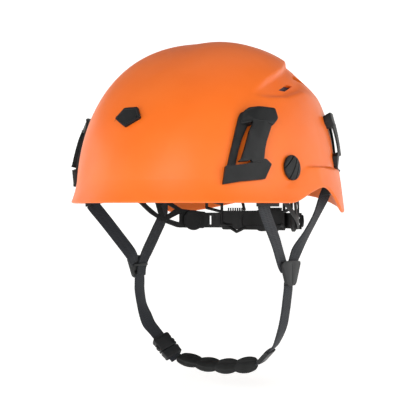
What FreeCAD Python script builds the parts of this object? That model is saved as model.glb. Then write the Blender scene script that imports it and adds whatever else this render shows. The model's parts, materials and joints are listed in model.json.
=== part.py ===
import FreeCAD, Part
import math
import os
from FreeCAD import Vector

# Climbing helmet, in millimetres. +Z is up, -Y is the front, +X is the wearer's left.
# The origin is the centre of the head opening, level with the brim's lower edge.

# ---- shell ----
HALF_WIDTH = 106.5
FRONT_LENGTH = 133.5
REAR_LENGTH = 147.0
DOME_HEIGHT = 150.0
PLAN_POWER = 2.14            # squareness of the shell seen from above
FRONT_POWER = 1.96           # roundness of the front, side and rear profiles
SIDE_POWER = 2.6
REAR_POWER = 2.74
CROWN_SHIFT = 8.5            # how far the crown sits behind the origin
SHELL_WALL = 3.0
FLARE = 4.8                  # outward flick of the brim
FLARE_TOP = 17.0
NAPE_BULGE = 6.0             # thicker band round the nape
NAPE_TOP = 27.0
RECESS_DEPTH = 3.5           # sunken panels that hold the vents
RIM = ((78.0, 0.0), (98.0, 14.0), (119.5, -8.5), (180.0, 10.0))
PANEL_LOW = ((62.0, 91.0), (84.0, 93.6), (99.0, 102.8), (109.0, 105.6), (150.0, 112.0))
PANEL_HIGH = ((62.0, 92.5), (75.6, 108.7), (99.7, 126.5), (125.0, 136.0), (150.0, 140.0))
SIDE_VENT = ((83.3, 101.6), (91.5, 107.6), (95.3, 107.3), (86.8, 101.2))
REAR_VENT = ((103.0, 117.0), (108.0, 121.5), (122.0, 118.0), (118.0, 112.0))
GRID = 81                    # points each way across the dome surface

# ---- liner ----
LINER_OUT = -3.4
LINER_IN = -18.0
LINER_FRONT_RIM = 9.0
LINER_REAR_RIM = 20.0
LINER_SPLIT = 92.0
LINER_GAP = 0.3
LINER_BELOW = -60.0          # under the lowest edge of the liner

# ---- lamp clips, accessory slots and their covers ----
CLIP_TOP = 76.5
SLOT_TURN = 80.1
SLOT_Z = 30.1
SLOT_WIDTH = 13.0
SLOT_HEIGHT = 7.0
COVER_RADIUS = 10.2

# ---- headband and fit system ----
BAND_CENTRE_Y = 5.0
BAND_HALF_WIDTH = 82.0
BAND_FRONT = 110.0
BAND_WALL = 1.6
DIAL_Z = -16.6
PIVOT_Y = 60.0
DISC_RADIUS = 10.25
BOSS_IN = 78.1
TAIL_IN = 83.8
TAIL_OUT = 85.2
TAIL_HALF_HEIGHT = 7.7
RACK_TEETH_PITCH = 2.513
PINION_TEETH = 10
PINION_PITCH_RADIUS = 4.0
HOUSING_ANGLE = 20.5
KNOB_RADIUS = 11.5

# ---- chin strap ----
WEB_WIDTH = 15.0
WEB_THICK = 1.4
DIVIDER_X = 86.6
DIVIDER_Y = 3.4
DIVIDER_Z = -61.7

LEFT = 1
RIGHT = -1
SIDES = ((LEFT, "left"), (RIGHT, "right"))
X_AXIS = Vector(1, 0, 0)
Y_AXIS = Vector(0, 1, 0)
Z_AXIS = Vector(0, 0, 1)
nodes = {}


# ---------- helpers ----------
def smooth(value):
    value = min(1.0, max(0.0, value))
    return value * value * (3 - 2 * value)


def follow(knots, position, ease):
    """Value at a position between knots; eased knots are flat, the others are straight lines."""
    if position <= knots[0][0]:
        return knots[0][1]
    for (start, low), (end, high) in zip(knots, knots[1:]):
        if position <= end:
            part = (position - start) / (end - start)
            return low + (high - low) * (smooth(part) if ease else part)
    return knots[-1][1]


def mirrored(shape):
    return shape.mirror(Vector(0, 0, 0), X_AXIS)


def sided(shape, side):
    return shape if side == LEFT else mirrored(shape)


def fused(shapes):
    result = shapes[0]
    for shape in shapes[1:]:
        result = result.fuse(shape)
    return result.removeSplitter()


def export(name, shape):
    nodes[name] = shape


# ---------- the dome ----------
def profile_power(turn):
    across = math.sin(math.radians(turn)) ** 2
    fore = FRONT_POWER if math.cos(math.radians(turn)) > 0 else REAR_POWER
    return SIDE_POWER * across + fore * (1 - across)


def relief(turn, z):
    """Height of the moulded detail above the plain dome."""
    side = abs(turn)
    flare = FLARE * (1 - smooth(z / FLARE_TOP))
    bulge = NAPE_BULGE * (1 - smooth((z - NAPE_TOP) / 8.0))
    rear = smooth((side - 83.5 - 0.69 * (max(z, 12.0) - 23.0)) / 8.0)
    low = follow(PANEL_LOW, side, False)
    high = follow(PANEL_HIGH, side, False)
    depth = RECESS_DEPTH * smooth((side - 62.0) / 14.0) * (1 - smooth((side - 138.0) / 14.0))
    inside = smooth((z - low) / 8.0 + 0.3) * (1 - smooth((z - high + 7.0) / 7.0))
    return flare * (1 - rear) + bulge * rear - depth * inside


def dome(turn, z, offset=0.0, rho=None, detail=True):
    """Point on the dome: turn in degrees from the front towards the left, offset outwards."""
    power = profile_power(turn)
    rise = max(z, 0.0) / DOME_HEIGHT
    if rho is None:
        rho = max(0.0, 1 - rise ** power) ** (1 / power)
    sine = math.sin(math.radians(turn))
    cosine = math.cos(math.radians(turn))
    across = math.copysign(abs(sine) ** (2 / PLAN_POWER), sine)
    along = math.copysign(abs(cosine) ** (2 / PLAN_POWER), cosine)
    length = FRONT_LENGTH if cosine > 0 else REAR_LENGTH
    x = (HALF_WIDTH + offset) * across * rho
    y = -(length + offset) * along * rho
    normal = Vector(x / HALF_WIDTH ** 2, y / length ** 2, max(z, 0.0) / DOME_HEIGHT ** 2)
    point = Vector(x, y + CROWN_SHIFT * (1 - rho), z + offset * rise)
    if detail:
        normal.normalize()
        point = point + normal * relief(turn, z)
    return point


def normal_at(turn, z):
    across = dome(turn + 1, z, detail=False) - dome(turn - 1, z, detail=False)
    upward = dome(turn, z + 1, detail=False) - dome(turn, z - 1, detail=False)
    out = across.cross(upward)
    out.normalize()
    return out


def disc_point(u, v):
    """Square to disc, so that the dome is one patch with no pole."""
    return u * math.sqrt(1 - v * v / 2), v * math.sqrt(1 - u * u / 2)


def dome_surface(offset, rim, detail, reach=1.0, count=GRID):
    rows = []
    for i in range(count):
        row = []
        for j in range(count):
            dx, dy = disc_point(2 * i / (count - 1) - 1, 2 * j / (count - 1) - 1)
            dx *= reach
            dy *= reach
            radius = min(1.0, math.hypot(dx, dy))
            if radius < 1e-9:
                row.append(Vector(0, CROWN_SHIFT, DOME_HEIGHT + offset))
                continue
            part = abs(dx / radius) ** PLAN_POWER
            share = part / (part + abs(dy / radius) ** PLAN_POWER)
            turn = math.degrees(math.atan2(math.copysign(math.sqrt(share), dx),
                                           math.copysign(math.sqrt(1 - share), -dy)))
            power = profile_power(turn)
            lean = (1 - (1 - radius) ** 1.5) * math.pi / 2
            size = (math.sin(lean) ** power + abs(math.cos(lean)) ** power) ** (1 / power)
            height = DOME_HEIGHT * abs(math.cos(lean)) / size
            if radius > 0.5:
                height += rim(abs(turn)) * smooth((radius - 0.5) / 0.5)
                row.append(dome(turn, height, offset, None, detail))
            else:
                row.append(dome(turn, height, offset, math.sin(lean) / size, detail))
        rows.append(row)
    surface = Part.BSplineSurface()
    surface.interpolate(rows)
    return surface.toShape()


def closed_between(outer, inner):
    """Solid between two four-edged faces whose edges run in the same order."""
    faces = [outer, inner]
    for edge_a, edge_b in zip(outer.OuterWire.Edges, inner.OuterWire.Edges):
        faces.append(Part.makeRuledSurface(edge_a, edge_b))
    shell = Part.makeShell(faces)
    shell.sewShape()
    solid = Part.makeSolid(Part.Shell(shell.Faces))
    if solid.Volume < 0:
        solid.reverse()
    return solid


def shell_rim(turn):
    return follow(RIM, turn, True)


def liner_rim(turn):
    return LINER_FRONT_RIM + (LINER_REAR_RIM - LINER_FRONT_RIM) * smooth((turn - 80.0) / 14.0)


def plate(corners, low, high, columns=5, rows=9):
    """Moulding that follows the dome: corners run top left, top right, bottom right, bottom left.
    low is one offset; high is the offset at the top and at the bottom."""
    (ta, za), (tb, zb), (tc, zc), (td, zd) = corners
    faces = []
    for heights in ((low, low), high):
        grid = []
        for i in range(rows):
            down = i / (rows - 1)
            line = []
            for j in range(columns):
                side = j / (columns - 1)
                turn = (ta * (1 - side) + tb * side) * (1 - down) + (td * (1 - side) + tc * side) * down
                z = (za * (1 - side) + zb * side) * (1 - down) + (zd * (1 - side) + zc * side) * down
                line.append(dome(turn, z, heights[0] * (1 - down) + heights[1] * down))
            grid.append(line)
        surface = Part.BSplineSurface()
        surface.interpolate(grid)
        faces.append(surface.toShape())
    return closed_between(faces[1], faces[0])


def window(corners, side):
    """Prism through the dome at right angles to it."""
    points = [dome(side * turn, z) for turn, z in corners]
    centre = sum(points[1:], points[0]) * (1 / len(points))
    out = (points[1] - points[0]).cross(points[2] - points[1])
    out.normalize()
    flat = [point - out * (point - centre).dot(out) for point in points]
    face = Part.Face(Part.makePolygon(flat + flat[:1]))
    prism = face.extrude(out * 60)
    prism.translate(out * -30)
    return prism


def placed_box(centre, out, up, width, height, low, high):
    """Box on a local frame: out is its depth direction, from low to high."""
    across = up.cross(out)
    across.normalize()
    rise = out.cross(across)
    corners = [centre + across * a * width / 2 + rise * b * height / 2 + out * low
               for a, b in ((-1, -1), (1, -1), (1, 1), (-1, 1))]
    face = Part.Face(Part.makePolygon(corners + corners[:1]))
    return face.extrude(out * (high - low))


# ---------- shell, liner and what is fixed to them ----------
def slot_frame(side):
    out = normal_at(SLOT_TURN, SLOT_Z)
    return dome(side * SLOT_TURN, SLOT_Z), Vector(side * out.x, out.y, out.z)


def liner_regions():
    """The liner is bonded in from a crown piece and four quarters, a hair apart."""
    reach = 220.0
    edge = LINER_GAP / 2
    regions = [("crown", Part.makeBox(2 * reach, 2 * reach, reach, Vector(-reach, -reach, LINER_SPLIT + edge)))]
    height = LINER_SPLIT - edge - LINER_BELOW
    for name, x, y in (("front_left", edge, -reach - edge), ("front_right", -reach - edge, -reach - edge),
                       ("rear_left", edge, edge), ("rear_right", -reach - edge, edge)):
        regions.append((name, Part.makeBox(reach, reach, height, Vector(x, y, LINER_BELOW))))
    return regions


def make_shell_and_liner():
    shell = closed_between(dome_surface(0.0, shell_rim, True), dome_surface(-SHELL_WALL, shell_rim, True))
    liner = closed_between(dome_surface(LINER_OUT, liner_rim, True), dome_surface(LINER_IN, liner_rim, False))
    for side in (LEFT, RIGHT):
        centre, out = slot_frame(side)
        slot = placed_box(centre, out, Z_AXIS, SLOT_WIDTH + 0.8, SLOT_HEIGHT + 0.8, -12, 8)
        for cutter in (window(SIDE_VENT, side), window(REAR_VENT, side), slot):
            shell = shell.cut(cutter)
            liner = liner.cut(cutter)
    export("shell", shell)
    for name, region in liner_regions():
        export("liner_" + name, liner.common(region))


def make_slot_cover(side, name):
    centre, out = slot_frame(side)
    disc = Part.makeCylinder(COVER_RADIUS, 1.4, centre + out * 1.0, out)
    ball_radius = 22.0
    ball = Part.makeSphere(ball_radius, centre + out * (3.4 - ball_radius))
    crown = Part.makeCylinder(COVER_RADIUS, 6, centre + out * 1.0, out).common(ball)
    stem = placed_box(centre, out, Z_AXIS, SLOT_WIDTH, SLOT_HEIGHT, -9, 1)
    cover = fused([disc, crown, stem])
    across = Z_AXIS.cross(out)
    rise = out.cross(across)
    corner = centre + across * 7 * side + rise * 9 + out * 3.6
    for spread in (20, 38, 56, 74):
        angle = math.radians(spread)
        line = across * (-side * math.cos(angle)) - rise * math.sin(angle)
        groove = placed_box(corner + line * 10, out, line, 0.8, 20, -1.4, 1.5)
        cover = cover.cut(groove)
    export("slot_cover_" + name, cover)


def make_badge():
    half = plate([(0.0, 80.9), (3.6, 80.9), (6.9, 70.8), (0.0, 63.5)], 0.12, (2.6, 2.6))
    export("front_badge", fused([half, mirrored(half)]))


def make_clip(top_turn, flip, top, length, side, name):
    """Lamp clip: base strip, top block, foot, and an arm that stands clear of the shell."""
    def place(points):
        return [(top_turn + flip * turn, top + length * (z - CLIP_TOP)) for turn, z in points]

    def block(points, low, high):
        corners = place(points)
        if flip < 0:
            corners = [corners[1], corners[0], corners[3], corners[2]]
        return plate(corners, low, high)

    parts = [
        block([(0.8, 72.0), (5.0, 73.0), (-3.9, 27.0), (-8.0, 26.0)], 0.4, (3.0, 3.0)),
        block([(0.6, 75.0), (14.6, 76.5), (14.4, 62.0), (-1.4, 64.5)], 0.4, (8.6, 8.8)),
        block([(-8.1, 29.8), (9.6, 34.6), (8.6, 19.0), (-9.8, 15.2)], 0.4, (6.4, 3.0)),
        block([(3.4, 67.0), (12.6, 67.0), (7.6, 36.0), (-3.2, 34.4)], 5.4, (8.2, 8.2)),
    ]
    foot_gap = block([(-3.4, 40.5), (14.6, 42.0), (14.0, 31.5), (-4.2, 30.5)], 4.0, (14.0, 14.0))
    clip = fused(parts[:3]).cut(foot_gap)
    export(name, sided(fused([clip, parts[3]]), side))


def make_strap_anchor(turn, top, bottom, low, high, side, name):
    block = plate([(turn - 5, top), (turn + 5, top), (turn + 5, bottom), (turn - 5, bottom)],
                  low, (high, high), 3, 3)
    export(name, sided(block, side))


# ---------- headband ----------
def band_face(offset):
    """Filled outline of the headband: half an ellipse in front, half a circle behind."""
    centre = Vector(0, BAND_CENTRE_Y, -60)
    wide = BAND_HALF_WIDTH + offset
    front = Part.Ellipse(centre, BAND_FRONT + offset, wide)
    front.XAxis = Vector(0, -1, 0)
    front_edge = Part.Arc(front, -math.pi / 2, math.pi / 2).toShape()
    rear = Part.Circle(centre, Z_AXIS, wide)
    rear_edge = Part.Arc(rear, 0, math.pi).toShape()
    return Part.Face(Part.Wire([front_edge, rear_edge]))


def band_ring(outer, inner):
    return band_face(outer).extrude(Z_AXIS * 160).cut(band_face(inner).extrude(Z_AXIS * 160))


def side_prism(outline):
    """Outline in Y and Z, drawn out across the whole width."""
    points = [Vector(-130, y, z) for y, z in outline]
    return Part.Face(Part.makePolygon(points + points[:1])).extrude(X_AXIS * 260)


def make_headband():
    ring = band_ring(BAND_WALL / 2, -BAND_WALL / 2)
    outline = [(-112, 16), (-112, 36), (-60, 36), (-20, 31), (20, 15), (50, -5), (68, -8), (70, -16.6),
               (67, -25), (47, -24), (35, -19.5), (16, -10), (0, 0), (-30, 11), (-60, 15)]
    windows = [[(50, -9), (38, -15.5), (48.5, -19)], [(44.5, -5.5), (25, 6.5), (33, -13.5)],
               [(20, 9), (-2, 17.5), (9, 0), (27, -11.5)], [(-8, 19), (-34, 26), (-20, 12), (2, 4)]]
    band = ring.common(side_prism(outline))
    for gap in windows:
        band = band.cut(side_prism(gap))
    for side, _ in SIDES:
        band = band.cut(Part.makeCylinder(2.5, 20, pivot_point(side, 76), radial(side)))
    export("headband", band)

    pad = band_ring(-BAND_WALL / 2 - 0.2, -BAND_WALL / 2 - 4.6)
    export("brow_pad", pad.common(side_prism([(-112, 17), (-112, 35), (-52, 35), (-52, 17)])))

    hooks = []
    filled = band_face(BAND_WALL / 2 + 0.1).extrude(Z_AXIS * 160)
    for turn in (-72, -32, 32, 72):
        hook = plate([(turn - 4, 33), (turn + 4, 33), (turn + 4, 20), (turn - 4, 20)],
                     -30.0, (LINER_IN - 0.2, LINER_IN - 0.2), 3, 3)
        hooks.append(hook.cut(filled))
    export("headband_hooks", Part.makeCompound(hooks))


def make_inner_pads():
    faces = [dome_surface(LINER_IN - drop, liner_rim, False, 0.27, 21) for drop in (0.3, 5.3)]
    export("crown_pad", closed_between(faces[0], faces[1]))
    pads = []
    for side in (LEFT, RIGHT):
        pads.append(sided(plate([(76, 82), (104, 82), (106, 52), (74, 52)], -23.0,
                                (LINER_IN - 1.2, LINER_IN - 1.2)), side))
    export("side_pads", Part.makeCompound(pads))


# ---------- pivots, tails and dial ----------
PIVOT_ANGLE = math.degrees(math.acos((PIVOT_Y - BAND_CENTRE_Y) / BAND_HALF_WIDTH))


def arc_place(radius, angle, z):
    """Point on a circle round the head; angle in degrees from the back towards the left."""
    turn = math.radians(angle)
    return Vector(radius * math.sin(turn), BAND_CENTRE_Y + radius * math.cos(turn), z)


def arc_block(inner, outer, start, end, low, high):
    corners = [arc_place(inner, start, low), arc_place(outer, start, low),
               arc_place(outer, end, low), arc_place(inner, end, low)]
    middle = (start + end) / 2
    wire = Part.Wire([
        Part.makeLine(corners[0], corners[1]),
        Part.Arc(corners[1], arc_place(outer, middle, low), corners[2]).toShape(),
        Part.makeLine(corners[2], corners[3]),
        Part.Arc(corners[3], arc_place(inner, middle, low), corners[0]).toShape(),
    ])
    return Part.Face(wire).extrude(Z_AXIS * (high - low))


def radial(side):
    turn = math.radians(PIVOT_ANGLE)
    return Vector(side * math.sin(turn), math.cos(turn), 0)


def pivot_point(side, radius):
    return arc_place(radius, side * PIVOT_ANGLE, DIAL_Z)


def make_pivot(side, name):
    """Round boss inside the headband, its stud, and the rivet head outside the tail."""
    out = radial(side)
    boss = Part.makeCylinder(DISC_RADIUS, 2.2, pivot_point(side, BOSS_IN), out)
    stud = Part.makeCylinder(2.4, 10.0, pivot_point(side, BOSS_IN), out)
    head = Part.makeCylinder(6.0, 1.6, pivot_point(side, 86.5), out)
    dish = Part.makeCylinder(7.4, 0.5, pivot_point(side, BOSS_IN - 0.2), out)
    export("pivot_disc_" + name, fused([boss, stud, head]).cut(dish))


def rack_teeth(z_root, z_tip, start, end, base_angle):
    pitch = math.degrees(RACK_TEETH_PITCH / ((TAIL_IN + TAIL_OUT) / 2))
    teeth = []
    index = math.ceil((start - base_angle) / pitch)
    while base_angle + index * pitch < end:
        middle = base_angle + index * pitch
        low, high = min(z_root, z_tip), max(z_root, z_tip)
        teeth.append(arc_block(TAIL_IN, TAIL_OUT, middle - pitch * 0.19, middle + pitch * 0.19, low, high))
        index += 1
    return teeth


def make_tail(side, name):
    """Curved tail with a slotted end at the pivot and a rack inside the dial housing.
    The left rack passes over the pinion and the right one under it."""
    low = DIAL_Z - TAIL_HALF_HEIGHT
    high = DIAL_Z + TAIL_HALF_HEIGHT
    body = arc_block(TAIL_IN, TAIL_OUT, 20.0, PIVOT_ANGLE + 9.5, low, high)
    pitch_line = DIAL_Z + side * PINION_PITCH_RADIUS
    root = pitch_line + side * 0.9
    edge = high if side == LEFT else low
    strip = arc_block(TAIL_IN, TAIL_OUT, -8.0, 20.5, min(root, edge), max(root, edge))
    slot = arc_block(TAIL_IN - 1, TAIL_OUT + 1, PIVOT_ANGLE - 5.6, PIVOT_ANGLE + 5.6,
                     DIAL_Z - 3.4, DIAL_Z + 3.4)
    gap = arc_block(TAIL_IN - 1, TAIL_OUT + 1, PIVOT_ANGLE - 13.2, PIVOT_ANGLE - 12.2,
                    DIAL_Z - 4.5, DIAL_Z + 4.5)
    shape = fused([body, strip]).cut(slot).cut(gap)
    if side == RIGHT:
        shape = mirrored(shape)
    offset = math.degrees(RACK_TEETH_PITCH / 2 / ((TAIL_IN + TAIL_OUT) / 2))
    start, end = (-7.6, 9.0) if side == LEFT else (-9.0, 7.6)
    teeth = rack_teeth(root + side * 0.1, pitch_line - side * 0.7, start, end, offset)
    export("tail_" + name, fused([shape] + teeth))


def make_dial():
    low = DIAL_Z - TAIL_HALF_HEIGHT - 2.0
    high = DIAL_Z + TAIL_HALF_HEIGHT + 2.0
    angle = HOUSING_ANGLE
    case = arc_block(83.45, 88.2, -angle, angle, low, high)
    channel = arc_block(83.0, 85.7, -angle - 1, angle + 1, low + 1.5, high - 1.5)
    bore = Part.makeCylinder(6.2, 5.1, Vector(0, 86, DIAL_Z), Y_AXIS)
    neck = Part.makeCylinder(2.7, 10, Vector(0, 88, DIAL_Z), Y_AXIS)
    relief_pocket = Part.makeBox(9, 6, 2.2, Vector(-4.5, 92.4, DIAL_Z + 5.4))
    export("dial_housing", case.cut(channel).cut(bore).cut(neck).cut(relief_pocket))
    export("nape_plate", arc_block(81.2, 83.25, -angle, angle, low, high))

    hub = Part.makeCylinder(3.2, 2.2, Vector(0, 88.5, DIAL_Z), Y_AXIS)
    teeth = []
    for index in range(PINION_TEETH):
        spoke = Part.makeBox(0.9, 2.2, 4.7, Vector(-0.45, 88.5, 0))
        spoke.rotate(Vector(0, 0, 0), Y_AXIS, 360.0 / PINION_TEETH * index)
        spoke.translate(Vector(0, 0, DIAL_Z))
        teeth.append(spoke)
    shaft = Part.makeCylinder(2.62, 4.0, Vector(0, 90.6, DIAL_Z), Y_AXIS)
    pilot = Part.makeCylinder(1.2, 8, Vector(0, 88, DIAL_Z), Y_AXIS)
    export("dial_pinion", fused([hub, shaft] + teeth).cut(pilot))

    knob = Part.makeCylinder(KNOB_RADIUS, 9.0, Vector(0, 94.6, DIAL_Z), Y_AXIS)
    knob = knob.makeFillet(1.2, [knob.Edges[0], knob.Edges[2]])
    for index in range(12):
        groove = Part.makeCylinder(1.5, 9, Vector(0, 95.6, KNOB_RADIUS + 0.7), Y_AXIS)
        groove.rotate(Vector(0, 0, 0), Y_AXIS, 30 * index)
        groove.translate(Vector(0, 0, DIAL_Z))
        knob = knob.cut(groove)
    seat = Part.makeCylinder(3.4, 4, Vector(0, 101.4, DIAL_Z), Y_AXIS)
    hole = Part.makeCylinder(1.6, 12, Vector(0, 94, DIAL_Z), Y_AXIS)
    export("dial_knob", knob.cut(seat).cut(hole))

    screw = fused([Part.makeCylinder(1.15, 12.6, Vector(0, 89.0, DIAL_Z), Y_AXIS),
                   Part.makeCylinder(3.0, 1.8, Vector(0, 101.5, DIAL_Z), Y_AXIS)])
    cross = fused([Part.makeBox(0.7, 2, 3.6, Vector(-0.35, 102.5, DIAL_Z - 1.8)),
                   Part.makeBox(3.6, 2, 0.7, Vector(-1.8, 102.5, DIAL_Z - 0.35))])
    export("dial_screw", screw.cut(cross))
    spring = fused([Part.makeBox(8.4, 0.4, 1.8, Vector(-4.2, 92.5, DIAL_Z + 5.6)),
                    Part.makeBox(1.2, 1.5, 1.8, Vector(-0.6, 92.5, DIAL_Z + 5.6))])
    export("detent_spring", spring)


def rod(points, radius):
    shapes = []
    for start, end in zip(points, points[1:]):
        shapes.append(Part.makeCylinder(radius, (end - start).Length, start, end - start))
    for point in points[1:-1]:
        shapes.append(Part.makeSphere(radius, point))
    return fused(shapes)


def make_nape_frame():
    """Moulded wire loops above and below the housing that spread the load on the nape."""
    radius = 81.4
    low = DIAL_Z - 5
    half = [
        rod([arc_place(radius, 19.5, low), arc_place(radius, 27, low), arc_place(radius, 27, 2),
             arc_place(radius, 19, 4), arc_place(radius, 12, 4), arc_place(radius, 10, -6.5)], 1.5),
        rod([arc_place(radius, 26, -20), arc_place(radius, 16, -28.5), arc_place(radius, 9.5, -24)], 1.5),
        rod([arc_place(radius, 27, 0), arc_place(radius, 38, 4), arc_place(radius, 38, -4),
             arc_place(radius, 27, -8)], 1.5),
    ]
    wires = half + [mirrored(shape) for shape in half]
    plate_zone = arc_block(81.1, 90.0, -HOUSING_ANGLE - 0.1, HOUSING_ANGLE + 0.1,
                           DIAL_Z - TAIL_HALF_HEIGHT - 2.1, DIAL_Z + TAIL_HALF_HEIGHT + 2.1)
    export("nape_frame", fused(wires).cut(plate_zone))


# ---------- straps ----------
def ribbon(stations):
    """Flat webbing through stations of (centre, width direction)."""
    wires = []
    for index, (centre, wide) in enumerate(stations):
        before = stations[max(0, index - 1)][0]
        after = stations[min(len(stations) - 1, index + 1)][0]
        along = after - before
        thick = along.cross(wide)
        thick.normalize()
        wide = thick.cross(along)
        wide.normalize()
        corners = [centre + wide * a * WEB_WIDTH / 2 + thick * b * WEB_THICK / 2
                   for a, b in ((-1, -1), (1, -1), (1, 1), (-1, 1))]
        wires.append(Part.makePolygon(corners + corners[:1]))
    return Part.makeLoft(wires, True, True)


def make_upper_straps(side, name):
    outer = DIVIDER_X + 1.5 + WEB_THICK / 2 + 0.1
    front_lean = Vector(0, 0.74, 0.67)
    front = [(Vector(94.2, -53.4, -3.4), front_lean), (Vector(92.2, -40.0, -17.0), front_lean),
             (Vector(90.6, -24.0, -33.5), front_lean), (Vector(outer + 0.3, -11.5, -47.5), front_lean),
             (Vector(outer, -7.0, -53.5), front_lean)]
    export("strap_front_" + name, sided(ribbon(front), side))
    rear_lean = Vector(0, 0.745, -0.667)
    rear = [(Vector(94.0, 54.5, 7.0), rear_lean), (Vector(90.0, 46.5, -11.5), rear_lean),
            (Vector(89.2, 31.6, -29.0), rear_lean), (Vector(outer + 0.2, 18.0, -43.5), rear_lean),
            (Vector(outer, 12.0, -51.0), rear_lean)]
    export("strap_rear_" + name, sided(ribbon(rear), side))


def make_divider(side, name):
    """Triangular slotted plate where the front and rear straps meet the chin strap."""
    outline = [(-16.5, 9.5), (-14.0, 11.5), (14.0, 11.5), (16.5, 9.5), (9.0, -11.5), (-9.0, -11.5)]
    points = [Vector(-1.5, y, z) for y, z in outline]
    body = Part.Face(Part.makePolygon(points + points[:1])).extrude(X_AXIS * 3)
    slots = [[(-14.0, 7.0), (-1.6, 2.0), (-2.2, -0.6), (-13.0, 3.6)],
             [(14.0, 7.0), (1.6, 2.0), (2.2, -0.6), (13.0, 3.6)],
             [(-8.0, -4.4), (8.0, -4.4), (8.0, -7.4), (-8.0, -7.4)]]
    for slot in slots:
        corners = [Vector(-5, y, z) for y, z in slot]
        body = body.cut(Part.Face(Part.makePolygon(corners + corners[:1])).extrude(X_AXIS * 10))
    body.translate(Vector(DIVIDER_X, DIVIDER_Y, DIVIDER_Z))
    export("divider_" + name, sided(body, side))


LOOP_Y = 3.4
PAD_START = Vector(-36.5, LOOP_Y, -147.0)
PAD_END = Vector(52.6, LOOP_Y, -145.3)
PAD_SAG = 5.5
PAD_STEPS = 9
PAD_END_WIDE = Vector(-0.1, 0.35, 0.9)
BUCKLE_START = Vector(-63.0, LOOP_Y, -127.5)
BUCKLE_LEAN = Vector(0.737, 0.0, -0.676)
KEEPER_CENTRE = Vector(60.5, LOOP_Y, -139.0)
KEEPER_LEAN = Vector(-0.70, 0.0, -0.714)


def turned(lean, upright, fore):
    """Width direction square to a strap: a share in the loop's plane and a share front to back."""
    wide = Vector(-lean.z, 0, lean.x) * upright + Y_AXIS * fore
    wide.normalize()
    return wide


BUCKLE_WIDE = turned(BUCKLE_LEAN, 0.5, 0.866)
BUCKLE_FACE = BUCKLE_LEAN.cross(BUCKLE_WIDE)
KEEPER_WIDE = turned(KEEPER_LEAN, -0.18, 0.98)


def make_chin_straps():
    outer = DIVIDER_X + 1.5 + WEB_THICK / 2 + 0.1
    hang = Y_AXIS
    left = [(Vector(outer, LOOP_Y, -64.5), hang), (Vector(outer, LOOP_Y, -74.5), hang),
            (Vector(86.4, LOOP_Y, -84.0), hang), (Vector(84.4, LOOP_Y, -98.0), hang),
            (Vector(80.6, LOOP_Y, -112.0), hang),
            (KEEPER_CENTRE - KEEPER_LEAN * 17, KEEPER_WIDE),
            (KEEPER_CENTRE + KEEPER_LEAN * 8.6, KEEPER_WIDE)]
    export("chin_strap_left", ribbon(left))
    right = [(Vector(-outer, LOOP_Y, -64.5), hang), (Vector(-outer, LOOP_Y, -74.5), hang),
             (Vector(-87.2, LOOP_Y, -86.0), hang), (Vector(-84.4, LOOP_Y, -99.0), hang),
             (BUCKLE_START - BUCKLE_LEAN * 14, BUCKLE_WIDE),
             (BUCKLE_START + BUCKLE_LEAN * 6.4, BUCKLE_WIDE)]
    export("chin_strap_right", ribbon(right))


def buckle_box(start, end, low, high, half_thick):
    """Box in the buckle's own frame: along the strap, across it, and through its thickness."""
    base = BUCKLE_START + BUCKLE_LEAN * start
    corners = [base + BUCKLE_WIDE * low + BUCKLE_FACE * half_thick, base + BUCKLE_WIDE * high + BUCKLE_FACE * half_thick,
               base + BUCKLE_WIDE * high - BUCKLE_FACE * half_thick, base + BUCKLE_WIDE * low - BUCKLE_FACE * half_thick]
    return Part.Face(Part.makePolygon(corners + corners[:1])).extrude(BUCKLE_LEAN * (end - start))


def make_buckle():
    """Side-release buckle. The socket slides up its webbing; two prongs squeeze inwards."""
    body = buckle_box(4.0, 19.0, -9.8, 9.8, 4.0)
    web_slot = buckle_box(3.0, 8.0, -8.1, 8.1, 1.5)
    cavity = buckle_box(7.4, 20.0, -8.4, 8.4, 2.4)
    side_gaps = buckle_box(9.0, 20.0, -11.0, 11.0, 2.4)
    export("buckle_socket", body.cut(web_slot).cut(cavity).cut(side_gaps))
    tongue = buckle_box(10.0, 22.0, -2.2, 2.2, 1.8)
    bar = buckle_box(19.6, 28.0, -9.5, 9.5, 3.2)
    web_gap = buckle_box(24.0, 29.0, -8.1, 8.1, 1.3)
    export("buckle_plug", fused([tongue, bar]).cut(web_gap))
    for sign, name in ((1, "upper"), (-1, "lower")):
        near, far = sorted((sign * 5.2, sign * 7.6))
        arm = buckle_box(10.5, 19.1, near, far, 1.9)
        lip_near, lip_far = sorted((sign * 7.2, sign * 10.2))
        lip = buckle_box(11.2, 17.0, lip_near, lip_far, 1.9)
        export("buckle_prong_" + name, fused([arm, lip]))


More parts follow.
